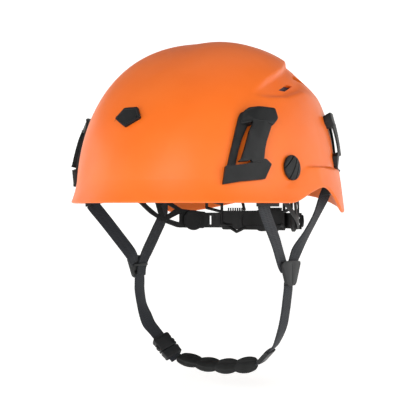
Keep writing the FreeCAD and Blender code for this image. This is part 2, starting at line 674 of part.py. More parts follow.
def make_chin_pad():
    """Scalloped rubber pad on its own webbing, between the buckle and the keeper."""
    sections = []
    start = PAD_START
    end = PAD_END
    for index in range(PAD_STEPS):
        part = index / (PAD_STEPS - 1)
        x = start.x + (end.x - start.x) * part
        sag = 4 * part * (1 - part)
        z = start.z + (end.z - start.z) * part - PAD_SAG * sag
        slope = (end.z - start.z) / (end.x - start.x) - PAD_SAG * 4 * (1 - 2 * part) / (end.x - start.x)
        along = Vector(1, 0, slope)
        along.normalize()
        tilt = BUCKLE_WIDE * (1 - part) + PAD_END_WIDE * part
        across = tilt - along * tilt.dot(along)
        across.normalize()
        deep = along.cross(across)
        centre = Vector(x, LOOP_Y, z)
        half = 8.0 if 0 < index < PAD_STEPS - 1 else 5.5
        corners = [centre + across * a * half + deep * b * 2.6
                   for a, b in ((-1, -1), (1, -1), (1, 1), (-1, 1))]
        sections.append(Part.makePolygon(corners + corners[:1]))
    export("chin_pad", Part.makeLoft(sections, True, False))
    short = [(BUCKLE_START + BUCKLE_LEAN * step, BUCKLE_WIDE) for step in (25.0, 28.0, 31.4)]
    export("chin_pad_strap", ribbon(short))
    deep = KEEPER_LEAN.cross(KEEPER_WIDE)
    sleeve = []
    for half_wide, half_deep in ((8.9, 2.3), (7.9, 1.2)):
        corners = [KEEPER_CENTRE - KEEPER_LEAN * 8 + KEEPER_WIDE * a * half_wide + deep * b * half_deep
                   for a, b in ((-1, -1), (1, -1), (1, 1), (-1, 1))]
        sleeve.append(Part.Face(Part.makePolygon(corners + corners[:1])).extrude(KEEPER_LEAN * 12))
    export("strap_keeper", sleeve[0].cut(sleeve[1]))


# ---------- build ----------
make_shell_and_liner()
make_badge()
for side, name in SIDES:
    make_slot_cover(side, name)
    make_clip(57.0, 1, CLIP_TOP, 1.0, side, "clip_front_" + name)
    make_clip(127.5, -1, 82.0, 0.84, side, "clip_rear_" + name)
    make_strap_anchor(68.0, 8.0, -3.0, -9.0, -4.2, side, "anchor_front_" + name)
    make_strap_anchor(112.0, 19.0, 8.0, -11.5, -4.2, side, "anchor_rear_" + name)
    make_pivot(side, name)
    make_tail(side, name)
    make_upper_straps(side, name)
    make_divider(side, name)
make_headband()
make_inner_pads()
make_dial()
make_nape_frame()
make_chin_straps()
make_buckle()
make_chin_pad()

os.makedirs("parts", exist_ok=True)
for node, shape in nodes.items():
    print(node, shape.isValid(), round(shape.Volume), len(shape.Solids))
    shape.exportStep("parts/" + node + ".step")
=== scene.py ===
import json
import math

import bpy
import numpy as np
from mathutils import Matrix, Vector


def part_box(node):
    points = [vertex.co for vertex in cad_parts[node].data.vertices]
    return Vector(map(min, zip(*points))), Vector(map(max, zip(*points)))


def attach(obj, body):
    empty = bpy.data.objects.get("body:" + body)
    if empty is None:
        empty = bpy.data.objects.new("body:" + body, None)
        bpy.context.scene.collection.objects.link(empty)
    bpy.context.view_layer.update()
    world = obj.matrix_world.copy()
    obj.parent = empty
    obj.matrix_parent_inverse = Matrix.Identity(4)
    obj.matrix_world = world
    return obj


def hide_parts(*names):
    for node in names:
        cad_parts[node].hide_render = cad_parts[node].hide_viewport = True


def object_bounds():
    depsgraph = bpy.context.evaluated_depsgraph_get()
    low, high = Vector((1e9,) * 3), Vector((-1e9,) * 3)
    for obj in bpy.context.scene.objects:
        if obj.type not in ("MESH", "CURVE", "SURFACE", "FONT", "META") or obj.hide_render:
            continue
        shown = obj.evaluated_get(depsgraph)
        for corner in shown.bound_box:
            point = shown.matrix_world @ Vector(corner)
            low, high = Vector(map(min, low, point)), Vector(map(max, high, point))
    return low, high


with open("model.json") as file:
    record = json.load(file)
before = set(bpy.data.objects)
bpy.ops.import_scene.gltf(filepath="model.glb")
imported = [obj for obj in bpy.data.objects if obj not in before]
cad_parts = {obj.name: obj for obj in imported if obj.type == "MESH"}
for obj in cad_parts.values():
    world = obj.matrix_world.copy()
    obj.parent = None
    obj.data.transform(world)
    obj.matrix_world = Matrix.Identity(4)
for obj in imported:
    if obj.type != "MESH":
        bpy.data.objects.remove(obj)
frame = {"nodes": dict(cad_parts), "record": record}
CAD_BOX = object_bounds()

bl_info = {
    "name": "Climbing Helmet",
    "version": (1, 0, 0),
    "blender": (4, 5, 0),
    "location": "View3D > Sidebar > Helmet",
    "description": "Models the finished surfaces of a climbing helmet round its packed frame",
    "category": "Add Mesh",
}

MM = 0.001
LEFT = 1
RIGHT = -1
SIDES = ((LEFT, "left"), (RIGHT, "right"))

# The dome's driving sizes in millimetres, worked out from the frame's shell.
SHELL_LOW, SHELL_HIGH = (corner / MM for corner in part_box("shell"))
FLARE = 4.8
NAPE_BULGE = 6.0
HALF_WIDTH = SHELL_HIGH.x - NAPE_BULGE
FRONT_LENGTH = -SHELL_LOW.y - FLARE
REAR_LENGTH = SHELL_HIGH.y - NAPE_BULGE
DOME_HEIGHT = SHELL_HIGH.z
PLAN_POWER = 2.14
FRONT_POWER = 1.96
SIDE_POWER = 2.6
REAR_POWER = 2.74
CROWN_SHIFT = 8.5
SHELL_WALL = 3.0
RIM_CROWDING = 1.35  # above 1, a wall's rows lie closer together towards the rim
RIM = ((78.0, 0.0), (98.0, 14.0), (119.5, -8.5), (180.0, 10.0))
PANEL_LOW = ((60.0, 90.4), (72.0, 91.0), (84.0, 93.6), (99.0, 102.8), (109.0, 105.6), (150.0, 112.0))
PANEL_HIGH = ((60.0, 90.6), (75.6, 108.7), (99.7, 127.5), (125.0, 138.0), (150.0, 142.0))


# ---------- colours and sizes that a user may change ----------
class HelmetColours(bpy.types.PropertyGroup):
    """Colours of the helmet's finishes, as sRGB hex values."""
    shell: bpy.props.StringProperty(name="Shell", description="Moulded shell", default="#F06C12")
    trim: bpy.props.StringProperty(name="Trim", description="Clips, badge and covers", default="#121314")
    webbing: bpy.props.StringProperty(name="Webbing", description="Chin strap webbing", default="#25272B")
    nylon: bpy.props.StringProperty(name="Nylon", description="Headband and dial", default="#0F0F0F")
    buckle: bpy.props.StringProperty(name="Buckle", description="Buckle and dividers", default="#232425")
    rubber: bpy.props.StringProperty(name="Rubber", description="Chin pad", default="#0C0E0D")
    foam: bpy.props.StringProperty(name="Foam", description="Liner", default="#4A525E")
    padding: bpy.props.StringProperty(name="Padding", description="Comfort pads", default="#1C1D20")
    backdrop: bpy.props.StringProperty(name="Backdrop", description="Studio floor", default="#F4F4F3")


class HelmetSizes(bpy.types.PropertyGroup):
    """Sizes of the pieces that Blender models, in metres."""
    webbing_width: bpy.props.FloatProperty(name="Webbing width", description="Width of the chin webbing",
                                           default=0.015, unit="LENGTH")
    webbing_thickness: bpy.props.FloatProperty(name="Webbing thickness",
                                               description="Thickness of the webbing",
                                               default=0.0014, unit="LENGTH")
    camera_distance: bpy.props.FloatProperty(name="Camera distance", description="From the helmet's axis",
                                             default=0.9, unit="LENGTH")
    camera_lens: bpy.props.FloatProperty(name="Camera lens", description="Focal length in millimetres",
                                         default=83.02)


def colours():
    """The scene's colour settings."""
    return bpy.context.scene.helmet_colours


def sizes():
    """The scene's size settings."""
    return bpy.context.scene.helmet_sizes


def linear(value):
    """sRGB hex to the linear values that shaders use."""
    channels = [int(value[i:i + 2], 16) / 255 for i in (1, 3, 5)]
    return tuple(c / 12.92 if c <= 0.04045 else ((c + 0.055) / 1.055) ** 2.4 for c in channels) + (1.0,)


def mixed(value, other, share):
    """Linear colour part of the way from one hex value to another."""
    return tuple(a + (b - a) * share for a, b in zip(linear(value), linear(other)))


# ---------- materials ----------
def node(tree, kind, settings=None, **links):
    """Adds one node, sets its properties and sockets, and links its inputs."""
    added = tree.nodes.new(kind)
    for key, value in (settings or {}).items():
        if hasattr(added, key):
            setattr(added, key, value)
        else:
            added.inputs[key].default_value = value
    for key, source in links.items():
        tree.links.new(source, added.inputs[key.replace("_", " ")])
    return added


def new_finish(name, base, roughness, settings=None):
    """A material with its shader; returns the material, its tree and the shader."""
    material = bpy.data.materials.new(name)
    material.use_nodes = True
    tree = material.node_tree
    shader = tree.nodes["Principled BSDF"]
    shader.inputs["Base Color"].default_value = linear(base)
    shader.inputs["Roughness"].default_value = roughness
    for key, value in (settings or {}).items():
        shader.inputs[key].default_value = value
    return material, tree, shader


def coordinates(tree, kind="Object"):
    return tree.nodes.new("ShaderNodeTexCoord").outputs[kind]


def noise(tree, place, millimetres, detail=2.0):
    """Noise whose blotches are about that many millimetres across."""
    settings = {"Scale": 1 / (millimetres * MM), "Detail": detail}
    made = node(tree, "ShaderNodeTexNoise", settings, Vector=place)
    return made.outputs["Fac"]


def ramp(tree, value, low, high, dark, light):
    """Colour ramp between two colours over part of the value's range."""
    made = node(tree, "ShaderNodeValToRGB", {}, Fac=value)
    made.color_ramp.elements[0].position = low
    made.color_ramp.elements[1].position = high
    made.color_ramp.elements[0].color = dark
    made.color_ramp.elements[1].color = light
    return made.outputs["Color"]


def grey_ramp(tree, value, low, high, dark, light):
    return ramp(tree, value, low, high, (dark, dark, dark, 1), (light, light, light, 1))


def bump(tree, shader, height, millimetres):
    """Bump of that real depth on a shader's normal."""
    settings = {"Strength": 1.0, "Distance": millimetres * MM}
    made = node(tree, "ShaderNodeBump", settings, Height=height)
    tree.links.new(made.outputs["Normal"], shader.inputs["Normal"])


def shell_plastic():
    """Injection-moulded ABS with a satin finish: even orange with faint flow mottling, a soft
    sheen and the light orange-peel of a polished mould."""
    hue = colours().shell
    material, tree, shader = new_finish("satin_moulded_abs", hue, 0.42, {
        "IOR": 1.5, "Specular IOR Level": 0.35, "Coat Weight": 0.05, "Coat Roughness": 0.35})
    place = coordinates(tree)
    mottle = noise(tree, place, 60, 3.0)
    tint = ramp(tree, mottle, 0.3, 0.7, mixed(hue, "#C85412", 0.10), mixed(hue, "#FF9A58", 0.10))
    tree.links.new(tint, shader.inputs["Base Color"])
    gloss = noise(tree, place, 18, 4.0)
    tree.links.new(grey_ramp(tree, gloss, 0.3, 0.7, 0.38, 0.46), shader.inputs["Roughness"])
    peel = noise(tree, place, 2.4, 2.0)
    bump(tree, shader, peel, 0.02)
    return material


def textured_plastic(name, hue, roughness=0.55, grain=1.1, depth=0.05):
    """Moulded nylon or acetal with a spark-eroded grain: nearly black, matt, lighter where
    handling has polished the grain."""
    material, tree, shader = new_finish(name, hue, roughness, {
        "IOR": 1.5, "Specular IOR Level": 0.3})
    place = coordinates(tree)
    wear = noise(tree, place, 14, 4.0)
    tint = ramp(tree, wear, 0.35, 0.7, mixed(hue, "#000000", 0.08), mixed(hue, "#6A6C70", 0.02))
    tree.links.new(tint, shader.inputs["Base Color"])
    tree.links.new(grey_ramp(tree, wear, 0.3, 0.75, roughness + 0.04, roughness - 0.03),
                   shader.inputs["Roughness"])
    bump(tree, shader, noise(tree, place, grain, 3.0), depth)
    return material


def woven_webbing():
    """Woven polyester webbing: herringbone ribs 2 mm apart and a faint blue-grey sheen.
    The ribs are drawn twice as coarse as real ones, so that they show."""
    hue = colours().webbing
    material, tree, shader = new_finish("woven_polyester_webbing", hue, 0.78, {
        "IOR": 1.45, "Sheen Weight": 0.1, "Sheen Roughness": 0.5, "Specular IOR Level": 0.25})
    place = coordinates(tree, "UV")
    split = node(tree, "ShaderNodeSeparateXYZ", {}, Vector=place)
    width = sizes().webbing_width
    centre = node(tree, "ShaderNodeMath", {"operation": "SUBTRACT"})
    tree.links.new(split.outputs["X"], centre.inputs[0])
    centre.inputs[1].default_value = width / 2
    fold = node(tree, "ShaderNodeMath", {"operation": "PINGPONG"})
    tree.links.new(centre.outputs[0], fold.inputs[0])
    fold.inputs[1].default_value = width / 6
    slant = node(tree, "ShaderNodeMath", {"operation": "ADD"})
    tree.links.new(fold.outputs[0], slant.inputs[0])
    tree.links.new(split.outputs["Y"], slant.inputs[1])
    turn = node(tree, "ShaderNodeMath", {"operation": "MULTIPLY"})
    tree.links.new(slant.outputs[0], turn.inputs[0])
    turn.inputs[1].default_value = 2 * math.pi / (2.0 * MM)
    rib = node(tree, "ShaderNodeMath", {"operation": "SINE"})
    tree.links.new(turn.outputs[0], rib.inputs[0])
    shade = node(tree, "ShaderNodeMapRange",
                 {"From Min": -1.0, "From Max": 1.0, "To Min": 0.0, "To Max": 1.0})
    tree.links.new(rib.outputs[0], shade.inputs["Value"])
    tint = ramp(tree, shade.outputs[0], 0.1, 0.9, mixed(hue, "#17181B", 0.3), mixed(hue, "#6A6F7A", 0.08))
    fuzz = noise(tree, coordinates(tree), 9, 3.0)
    blend = node(tree, "ShaderNodeMix", {"data_type": "RGBA", "blend_type": "MULTIPLY"})
    blend.inputs["Factor"].default_value = 0.35
    tree.links.new(tint, blend.inputs[6])
    tree.links.new(grey_ramp(tree, fuzz, 0.3, 0.7, 0.75, 1.0), blend.inputs[7])
    tree.links.new(blend.outputs[2], shader.inputs["Base Color"])
    bump(tree, shader, shade.outputs[0], 0.18)
    return material


def bead_foam():
    """Moulded expanded polystyrene: blue-grey beads about 4 mm across with fine dark seams."""
    hue = colours().foam
    material, tree, shader = new_finish("moulded_bead_foam", hue, 0.7, {"IOR": 1.4})
    place = coordinates(tree)
    beads = node(tree, "ShaderNodeTexVoronoi", {"feature": "DISTANCE_TO_EDGE", "Scale": 1 / (4.0 * MM)},
                 Vector=place)
    edge = beads.outputs["Distance"]
    tint = ramp(tree, edge, 0.0, 0.12, mixed(hue, "#16181C", 0.4), linear(hue))
    tree.links.new(tint, shader.inputs["Base Color"])
    bump(tree, shader, grey_ramp(tree, edge, 0.0, 0.25, 0.0, 1.0), 0.35)
    return material


def knitted_padding():
    """Brushed knitted polyester over foam: black, soft sheen, open knit cells 2.5 mm apart."""
    hue = colours().padding
    material, tree, shader = new_finish("knitted_foam_padding", hue, 0.9, {
        "IOR": 1.4, "Sheen Weight": 0.5, "Sheen Roughness": 0.4})
    place = coordinates(tree)
    cells = node(tree, "ShaderNodeTexVoronoi", {"Scale": 1 / (2.5 * MM), "Randomness": 0.25}, Vector=place)
    tint = ramp(tree, cells.outputs["Distance"], 0.1, 0.6, mixed(hue, "#5A5D66", 0.35), linear(hue))
    tree.links.new(tint, shader.inputs["Base Color"])
    bump(tree, shader, cells.outputs["Distance"], -0.3)
    return material


def moulded_rubber():
    """Moulded soft rubber: matt charcoal with a fine bloom and shallow grain."""
    hue = colours().rubber
    material, tree, shader = new_finish("moulded_soft_rubber", hue, 0.66, {
        "IOR": 1.52, "Specular IOR Level": 0.3})
    place = coordinates(tree)
    bloom = noise(tree, place, 7, 4.0)
    tint = ramp(tree, bloom, 0.3, 0.75, linear(hue), mixed(hue, "#6F7476", 0.05))
    tree.links.new(tint, shader.inputs["Base Color"])
    bump(tree, shader, noise(tree, place, 1.4, 3.0), 0.06)
    return material


def plated_steel():
    """Zinc-plated spring steel: pale grey, fine turned grain."""
    material, tree, shader = new_finish("zinc_plated_steel", "#B9BBBE", 0.3, {"Metallic": 1.0})
    place = coordinates(tree)
    grain = noise(tree, place, 1.2, 5.0)
    tree.links.new(grey_ramp(tree, grain, 0.3, 0.7, 0.24, 0.42), shader.inputs["Roughness"])
    bump(tree, shader, grain, 0.01)
    return material


def studio_paper():
    """Seamless matt paper, almost white."""
    material, tree, shader = new_finish("seamless_studio_paper", colours().backdrop, 0.95, {
        "Emission Color": linear(colours().backdrop), "Emission Strength": 0.62})
    grain = noise(tree, coordinates(tree), 120, 2.0)
    tint = ramp(tree, grain, 0.3, 0.7, mixed(colours().backdrop, "#E8E8E6", 0.15),
                linear(colours().backdrop))
    tree.links.new(tint, shader.inputs["Base Color"])
    return material


FINISHES = {}


def finish(slot):
    """The material for one of the record's slots, made once."""
    makers = {
        "shell_plastic": shell_plastic,
        "trim_plastic": lambda: textured_plastic("textured_nylon_trim", colours().trim, 0.5, 1.3, 0.05),
        "buckle_plastic": lambda: textured_plastic("moulded_acetal", colours().buckle, 0.42, 1.8, 0.03),
        "black_nylon": lambda: textured_plastic("moulded_black_nylon", colours().nylon, 0.48, 1.5, 0.03),
        "webbing": woven_webbing,
        "foam": bead_foam,
        "padding": knitted_padding,
        "soft_rubber": moulded_rubber,
        "steel": plated_steel,
    }
    if slot not in FINISHES:
        FINISHES[slot] = makers[slot]()
    return FINISHES[slot]


# ---------- modelling helpers ----------
def start_clean():
    """Object mode, nothing selected."""
    if bpy.context.object and bpy.context.object.mode != "OBJECT":
        bpy.ops.object.mode_set(mode="OBJECT")
    bpy.ops.object.select_all(action="DESELECT")


def named(name):
    """Names the primitive that was just added."""
    piece = bpy.context.object
    piece.name = name
    piece.data.name = name
    return piece


def activate(piece):
    start_clean()
    piece.select_set(True)
    bpy.context.view_layer.objects.active = piece


def edit(piece, select="SELECT"):
    activate(piece)
    bpy.ops.object.mode_set(mode="EDIT")
    bpy.ops.mesh.select_all(action=select)


def leave_edit():
    bpy.ops.object.mode_set(mode="OBJECT")


def places(piece):
    flat = np.zeros(len(piece.data.vertices) * 3)
    piece.data.vertices.foreach_get("co", flat)
    return flat.reshape(-1, 3)


def put(piece, points):
    piece.data.vertices.foreach_set("co", np.asarray(points, float).ravel())
    piece.data.update()


def outward(piece):
    edit(piece)
    bpy.ops.mesh.normals_make_consistent(inside=False)
    leave_edit()


def add_modifier(piece, kind, **settings):
    """Adds a modifier and applies it."""
    activate(piece)
    made = piece.modifiers.new(kind.title(), kind)
    for key, value in settings.items():
        setattr(made, key, value)
    bpy.ops.object.modifier_apply(modifier=made.name)


def bevel(piece, millimetres, segments=2, angle=35):
    add_modifier(piece, "BEVEL", width=millimetres * MM, segments=segments, limit_method="ANGLE",
                 angle_limit=math.radians(angle), harden_normals=False)


def smooth_shade(piece, angle=32):
    activate(piece)
    bpy.ops.object.shade_smooth_by_angle(angle=math.radians(angle))


def complete(piece, body, slot, *stands_for, angle=32):
    """Gives a finished piece its surface, its body and the CAD nodes that it stands for."""
    piece.data.materials.clear()
    piece.data.materials.append(finish(slot))
    smooth_shade(piece, angle)
    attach(piece, body)
    if stands_for:
        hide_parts(*stands_for)
    return piece


def settle(piece, matrix):
    """Moves a piece into the frame and leaves its place in its mesh."""
    activate(piece)
    piece.matrix_world = matrix
    bpy.ops.object.transform_apply(location=True, rotation=True, scale=True)


def joined(pieces, name):
    activate(pieces[0])
    for piece in pieces[1:]:
        piece.select_set(True)
    if len(pieces) > 1:
        bpy.ops.object.join()
    pieces[0].name = name
    pieces[0].data.name = name
    return pieces[0]


def prism(name, outline, low, high):
    """Solid with a straight-sided outline in X and Y, in millimetres."""
    start_clean()
    bpy.ops.mesh.primitive_circle_add(vertices=len(outline), fill_type="NGON")
    piece = named(name)
    put(piece, [(x * MM, y * MM, low * MM) for x, y in outline])
    edit(piece)
    bpy.ops.mesh.extrude_region_move(TRANSFORM_OT_translate={"value": (0, 0, (high - low) * MM)})
    leave_edit()
    outward(piece)
    return piece


def rounded(outline, radius, steps=3):
    """An outline with each corner turned into a short arc."""
    made = []
    count = len(outline)
    for index in range(count):
        corner = Vector(outline[index])
        before = Vector(outline[index - 1]) - corner
        after = Vector(outline[(index + 1) % count]) - corner
        reach = min(radius, before.length * 0.45, after.length * 0.45)
        start = corner + before.normalized() * reach
        end = corner + after.normalized() * reach
        for step in range(steps + 1):
            part = step / steps
            point = start * (1 - part) ** 2 + corner * 2 * part * (1 - part) + end * part ** 2
            made.append(tuple(point))
    return made


def slice_up(piece, spacing, axes=(0, 1)):
    """Cuts a piece across at even spacing, so that it can follow a curve."""
    low = places(piece).min(0)
    high = places(piece).max(0)
    for axis in axes:
        count = int((high[axis] - low[axis]) / (spacing * MM))
        normal = [0.0, 0.0, 0.0]
        normal[axis] = 1.0
        for index in range(1, count + 1):
            cut = [0.0, 0.0, 0.0]
            cut[axis] = low[axis] + (high[axis] - low[axis]) * index / (count + 1)
            edit(piece)
            bpy.ops.mesh.bisect(plane_co=cut, plane_no=normal)
            leave_edit()


def cut_away(piece, cutter):
    """Boolean difference; the cutter is used up."""
    add_modifier(piece, "BOOLEAN", object=cutter, operation="DIFFERENCE", solver="EXACT")
    bpy.data.objects.remove(cutter, do_unlink=True)


# ---------- the dome ----------
def smooth(value):
    value = np.clip(value, 0.0, 1.0)
    return value * value * (3 - 2 * value)


def along_knots(knots, position, ease=False):
    """Value between knots; eased knots are flat, the others are joined by straight lines."""
    at = np.array([knot[0] for knot in knots])
    value = np.array([knot[1] for knot in knots])
    if not ease:
        return np.interp(position, at, value)
    index = np.clip(np.searchsorted(at, position) - 1, 0, len(at) - 2)
    part = smooth((position - at[index]) / (at[index + 1] - at[index]))
    return value[index] + (value[index + 1] - value[index]) * part


def relief(turn, z):
    """Height of the moulded detail above the plain dome, in millimetres."""
    side = np.abs(turn)
    curl = np.clip((19.0 - z) / 19.0, 0.0, 1.0)
    flare = FLARE * (0.35 * curl + 0.65 * curl ** 2)
    ledge = smooth((33.4 - z) / 2.6)
    bulge = (4.2 + 4.3 * np.clip((28.0 - z) / 36.0, 0.0, 1.0)) * ledge
    begin = 80.0 + 0.69 * (np.clip(z, 12.0, 33.0) - 19.0)
    rear = np.clip((side - begin) / (95.0 - begin), 0.0, 1.0)
    low = along_knots(PANEL_LOW, side)
    high = along_knots(PANEL_HIGH, side)
    depth = 4.6 * smooth((side - 60.0) / 22.0) * (1 - smooth((side - 140.0) / 16.0))
    fade = 5.0 + 24.0 * smooth((side - 94.0) / 22.0)
    inside = smooth((z - low) / fade + 0.4) * (1 - smooth((z - high + 3.6) / 4.2))
    return flare * (1 - rear) + bulge * rear - depth * inside


def profile_power(turn):
    across = np.sin(np.radians(turn)) ** 2
    fore = np.where(np.cos(np.radians(turn)) > 0, FRONT_POWER, REAR_POWER)
    return SIDE_POWER * across + fore * (1 - across)


def dome(turn, z, out=0.0, rho=None, detail=True):
    """Points on the dome in millimetres: turn in degrees from the front towards the left."""
    turn = np.asarray(turn, float)
    z = np.asarray(z, float)
    power = profile_power(turn)
    rise = np.clip(z, 0.0, DOME_HEIGHT) / DOME_HEIGHT
    level = np.maximum(0.0, 1 - rise ** power) ** (1 / power)
    if rho is not None:
        level = np.where(np.isnan(rho), level, rho)
    sine = np.sin(np.radians(turn))
    cosine = np.cos(np.radians(turn))
    across = np.sign(sine) * np.abs(sine) ** (2 / PLAN_POWER)
    along = np.sign(cosine) * np.abs(cosine) ** (2 / PLAN_POWER)
    length = np.where(cosine > 0, FRONT_LENGTH, REAR_LENGTH)
    x = (HALF_WIDTH + out) * across * level
    y = -(length + out) * along * level
    normal = np.stack([x / HALF_WIDTH ** 2, y / length ** 2, np.maximum(z, 0.0) / DOME_HEIGHT ** 2], -1)
    normal /= np.linalg.norm(normal, axis=-1, keepdims=True) + 1e-12
    points = np.stack([x, y + CROWN_SHIFT * (1 - level), z + out * rise], -1)
    if detail:
        points = points + normal * np.expand_dims(relief(turn, z), -1)
    return points


def shell_rim(side):
    return along_knots(RIM, side, True)


def skin_rim(side):
    return shell_rim(side) + 1.4


def liner_rim(side):
    return 9.0 + 11.0 * smooth((side - 80.0) / 14.0)


def skin_points(turn, part, out, rim, detail):
    """Dome points for part 0 at the crown to 1 at the rim."""
    power = profile_power(turn)
    lean = (1 - (1 - part) ** RIM_CROWDING) * np.pi / 2
    sine = np.sin(lean)
    cosine = np.abs(np.cos(lean))
    size = (sine ** power + cosine ** power) ** (1 / power)
    height = DOME_HEIGHT * cosine / size + rim * smooth((part - 0.5) / 0.5)
    rho = np.where(part > 0.5, np.nan, sine / size)
    return dome(turn, height, out, rho, detail)


def wall(name, outside, inside, rim_rule, columns, outer_rows, lip_rows, inner_rows,
         outer_detail=True, inner_detail=True):
    """Closed dome wall. A sphere's upper rings become the outer skin, its middle rings the rounded
    lip, and its lower rings the inner skin."""
    rings = outer_rows + lip_rows + inner_rows
    start_clean()
    bpy.ops.mesh.primitive_uv_sphere_add(segments=columns, ring_count=rings, radius=1.0)
    piece = named(name)
    unit = places(piece)
    ring = np.rint((np.pi / 2 - np.arcsin(np.clip(unit[:, 2], -1, 1))) / np.pi * rings)
    angle = np.arctan2(unit[:, 0], -unit[:, 1])
    across = np.abs(np.sin(angle)) ** PLAN_POWER
    share = across / (across + np.abs(np.cos(angle)) ** PLAN_POWER)
    turn = np.degrees(np.arctan2(np.copysign(np.sqrt(share), np.sin(angle)),
                                 np.copysign(np.sqrt(1 - share), np.cos(angle))))
    rim = rim_rule(np.abs(turn))
    outer_part = np.clip(ring / outer_rows, 0, 1)
    inner_part = np.clip((rings - ring) / inner_rows, 0, 1)
    outer = skin_points(turn, outer_part, outside, rim, outer_detail)
    inner = skin_points(turn, inner_part, inside, rim, inner_detail)
    lip = np.clip((ring - outer_rows) / lip_rows, 0, 1)[:, None] * np.pi
    middle = (outer + inner) / 2 + (outer - inner) / 2 * np.cos(lip)
    drop = np.linalg.norm(outer - inner, axis=1, keepdims=True) / 2 * np.sin(lip)
    middle = middle - np.array([0, 0, 1.0]) * np.minimum(drop, 1.5)
    points = np.where((ring <= outer_rows)[:, None], outer,
                      np.where((ring >= outer_rows + lip_rows)[:, None], inner, middle))
    put(piece, points * MM)
    outward(piece)
    return piece


def wrapped(piece, turn, per_degree, side=LEFT):
    """Lays a flat model on the dome: its X runs round the dome, its Y is the height, its Z stands out."""
    flat = places(piece) / MM
    around = turn + flat[:, 0] / per_degree
    points = dome(around, flat[:, 1], 0.0, None, True)
    raised = dome(around, flat[:, 1], 10.0, None, True)
    normal = (raised - points) / 10.0
    points = points + normal * flat[:, 2:3]
    points[:, 0] *= side
    put(piece, points * MM)
    outward(piece)
    return piece


# ---------- operators ----------
class HELMET_OT_stage(bpy.types.Operator):
    """Builds the studio: seamless floor, soft lights and the camera"""
    bl_idname = "helmet.stage"
    bl_label = "Studio"

    def execute(self, context):
        start_clean()
        floor_z = CAD_BOX[0][2] - 0.012
        bpy.ops.mesh.primitive_circle_add(vertices=96, radius=1.6, fill_type="NGON",
                                          location=(0, 0, floor_z))
        floor = named("studio_floor")
        settle(floor, floor.matrix_world.copy())
        edit(floor, "DESELECT")
        bpy.ops.mesh.select_mode(type="EDGE")
        bpy.ops.mesh.select_all(action="SELECT")
        bpy.ops.mesh.region_to_loop()
        steps = 12
        radius = 1.4
        for step in range(steps):
            angle = (step + 0.5) / steps * math.pi / 2
            reach = radius * math.pi / 2 / steps
            bpy.ops.mesh.extrude_edges_move(
                TRANSFORM_OT_translate={"value": (0, 0, reach * math.sin(angle))})
            here = 1.6 + radius * math.sin(step / steps * math.pi / 2)
            there = 1.6 + radius * math.sin((step + 1) / steps * math.pi / 2)
            bpy.ops.transform.resize(value=(there / here, there / here, 1))
        bpy.ops.mesh.select_mode(type="VERT")
        leave_edit()
        floor.data.materials.append(studio_paper())
        smooth_shade(floor, 40)

        world = context.scene.world or bpy.data.worlds.new("studio")
        context.scene.world = world
        world.use_nodes = True
        world.node_tree.nodes["Background"].inputs["Color"].default_value = (1, 1, 1, 1)
        world.node_tree.nodes["Background"].inputs["Strength"].default_value = 0.3
        context.scene.view_settings.view_transform = "Standard"

        lights = (("key", (0.5, -1.4, 0.35), 0.9, 5.4), ("left_fill", (-1.3, -0.7, 0.2), 1.0, 4.2),
                  ("right_fill", (1.4, 0.2, 0.15), 1.0, 4.8), ("overhead", (0.1, 0.1, 1.4), 1.2, 1.6),
                  ("under", (0.3, -0.9, -0.05), 0.5, 1.2))
        for name, place, size, power in lights:
            data = bpy.data.lights.new(name, "AREA")
            data.size = size
            data.energy = power
            lamp = bpy.data.objects.new(name, data)
            lamp.location = place
            lamp.rotation_euler = (-Vector(place)).to_track_quat("-Z", "Y").to_euler()
            context.scene.collection.objects.link(lamp)

        data = bpy.data.cameras.new("camera")
        data.lens = sizes().camera_lens
        data.sensor_width = 36.0
        camera = bpy.data.objects.new("camera", data)
        turn = math.radians(35)
        aim = Vector((0, 0, -0.0042))
        camera.location = aim + Vector((math.sin(turn), -math.cos(turn), 0)) * sizes().camera_distance
        camera.rotation_euler = (math.pi / 2, 0, turn)
        context.scene.collection.objects.link(camera)
        context.scene.camera = camera
        return {"FINISHED"}


class HELMET_OT_shell(bpy.types.Operator):
    """Models the outer shell with its brim, nape ledge, sunken panels and vents"""
    bl_idname = "helmet.shell"
    bl_label = "Shell"

    def execute(self, context):
        shell = wall("shell_skin", 0.0, -SHELL_WALL, skin_rim, 300, 140, 8, 60)
        for cutter in vent_cutters() + slot_cutters():
            cut_away(shell, cutter)
        complete(shell, "helmet", "shell_plastic", "shell", angle=38)
        return {"FINISHED"}


SIDE_VENT = ((82.7, 100.9), (91.4, 108.1), (95.9, 107.9), (87.4, 100.7))
REAR_VENT = ((103.0, 117.0), (108.0, 121.5), (122.0, 118.0), (118.0, 112.0))
SLOT_TURN = 80.1
SLOT_Z = 30.1


def dome_frame(turn, z, side=LEFT, out=0.0):
    """Matrix at a point of the dome: X runs round it, Y up it and Z out of it."""
    centre = dome(turn, z, out)
    across = Vector(dome(turn + 1, z, out, None, False) - dome(turn - 1, z, out, None, False)).normalized()
    upward = Vector(dome(turn, z + 1, out, None, False) - dome(turn, z - 1, out, None, False))
    normal = across.cross(upward).normalized()
    upward = normal.cross(across)
    made = Matrix((across, upward, normal)).transposed().to_4x4()
    made.translation = Vector(centre) * MM
    if side == RIGHT:
        made = Matrix.Scale(-1, 4, (1, 0, 0)) @ made
    return made


def vent_cutters(vents=(SIDE_VENT, REAR_VENT)):
    """Prisms that open the vents."""
    cutters = []
    for side, _ in SIDES:
        for corners in vents:
            turn = sum(corner[0] for corner in corners) / 4
            z = sum(corner[1] for corner in corners) / 4
            place = dome_frame(turn, z)
            back = place.inverted()
            flat = [back @ (Vector(dome(t, h)) * MM) for t, h in corners]
            outline = rounded([(point.x / MM, point.y / MM) for point in flat], 1.2)
            cutter = prism("vent_cutter", outline, -30, 12)
            settle(cutter, dome_frame(turn, z, side))
            outward(cutter)
            cutters.append(cutter)
    return cutters


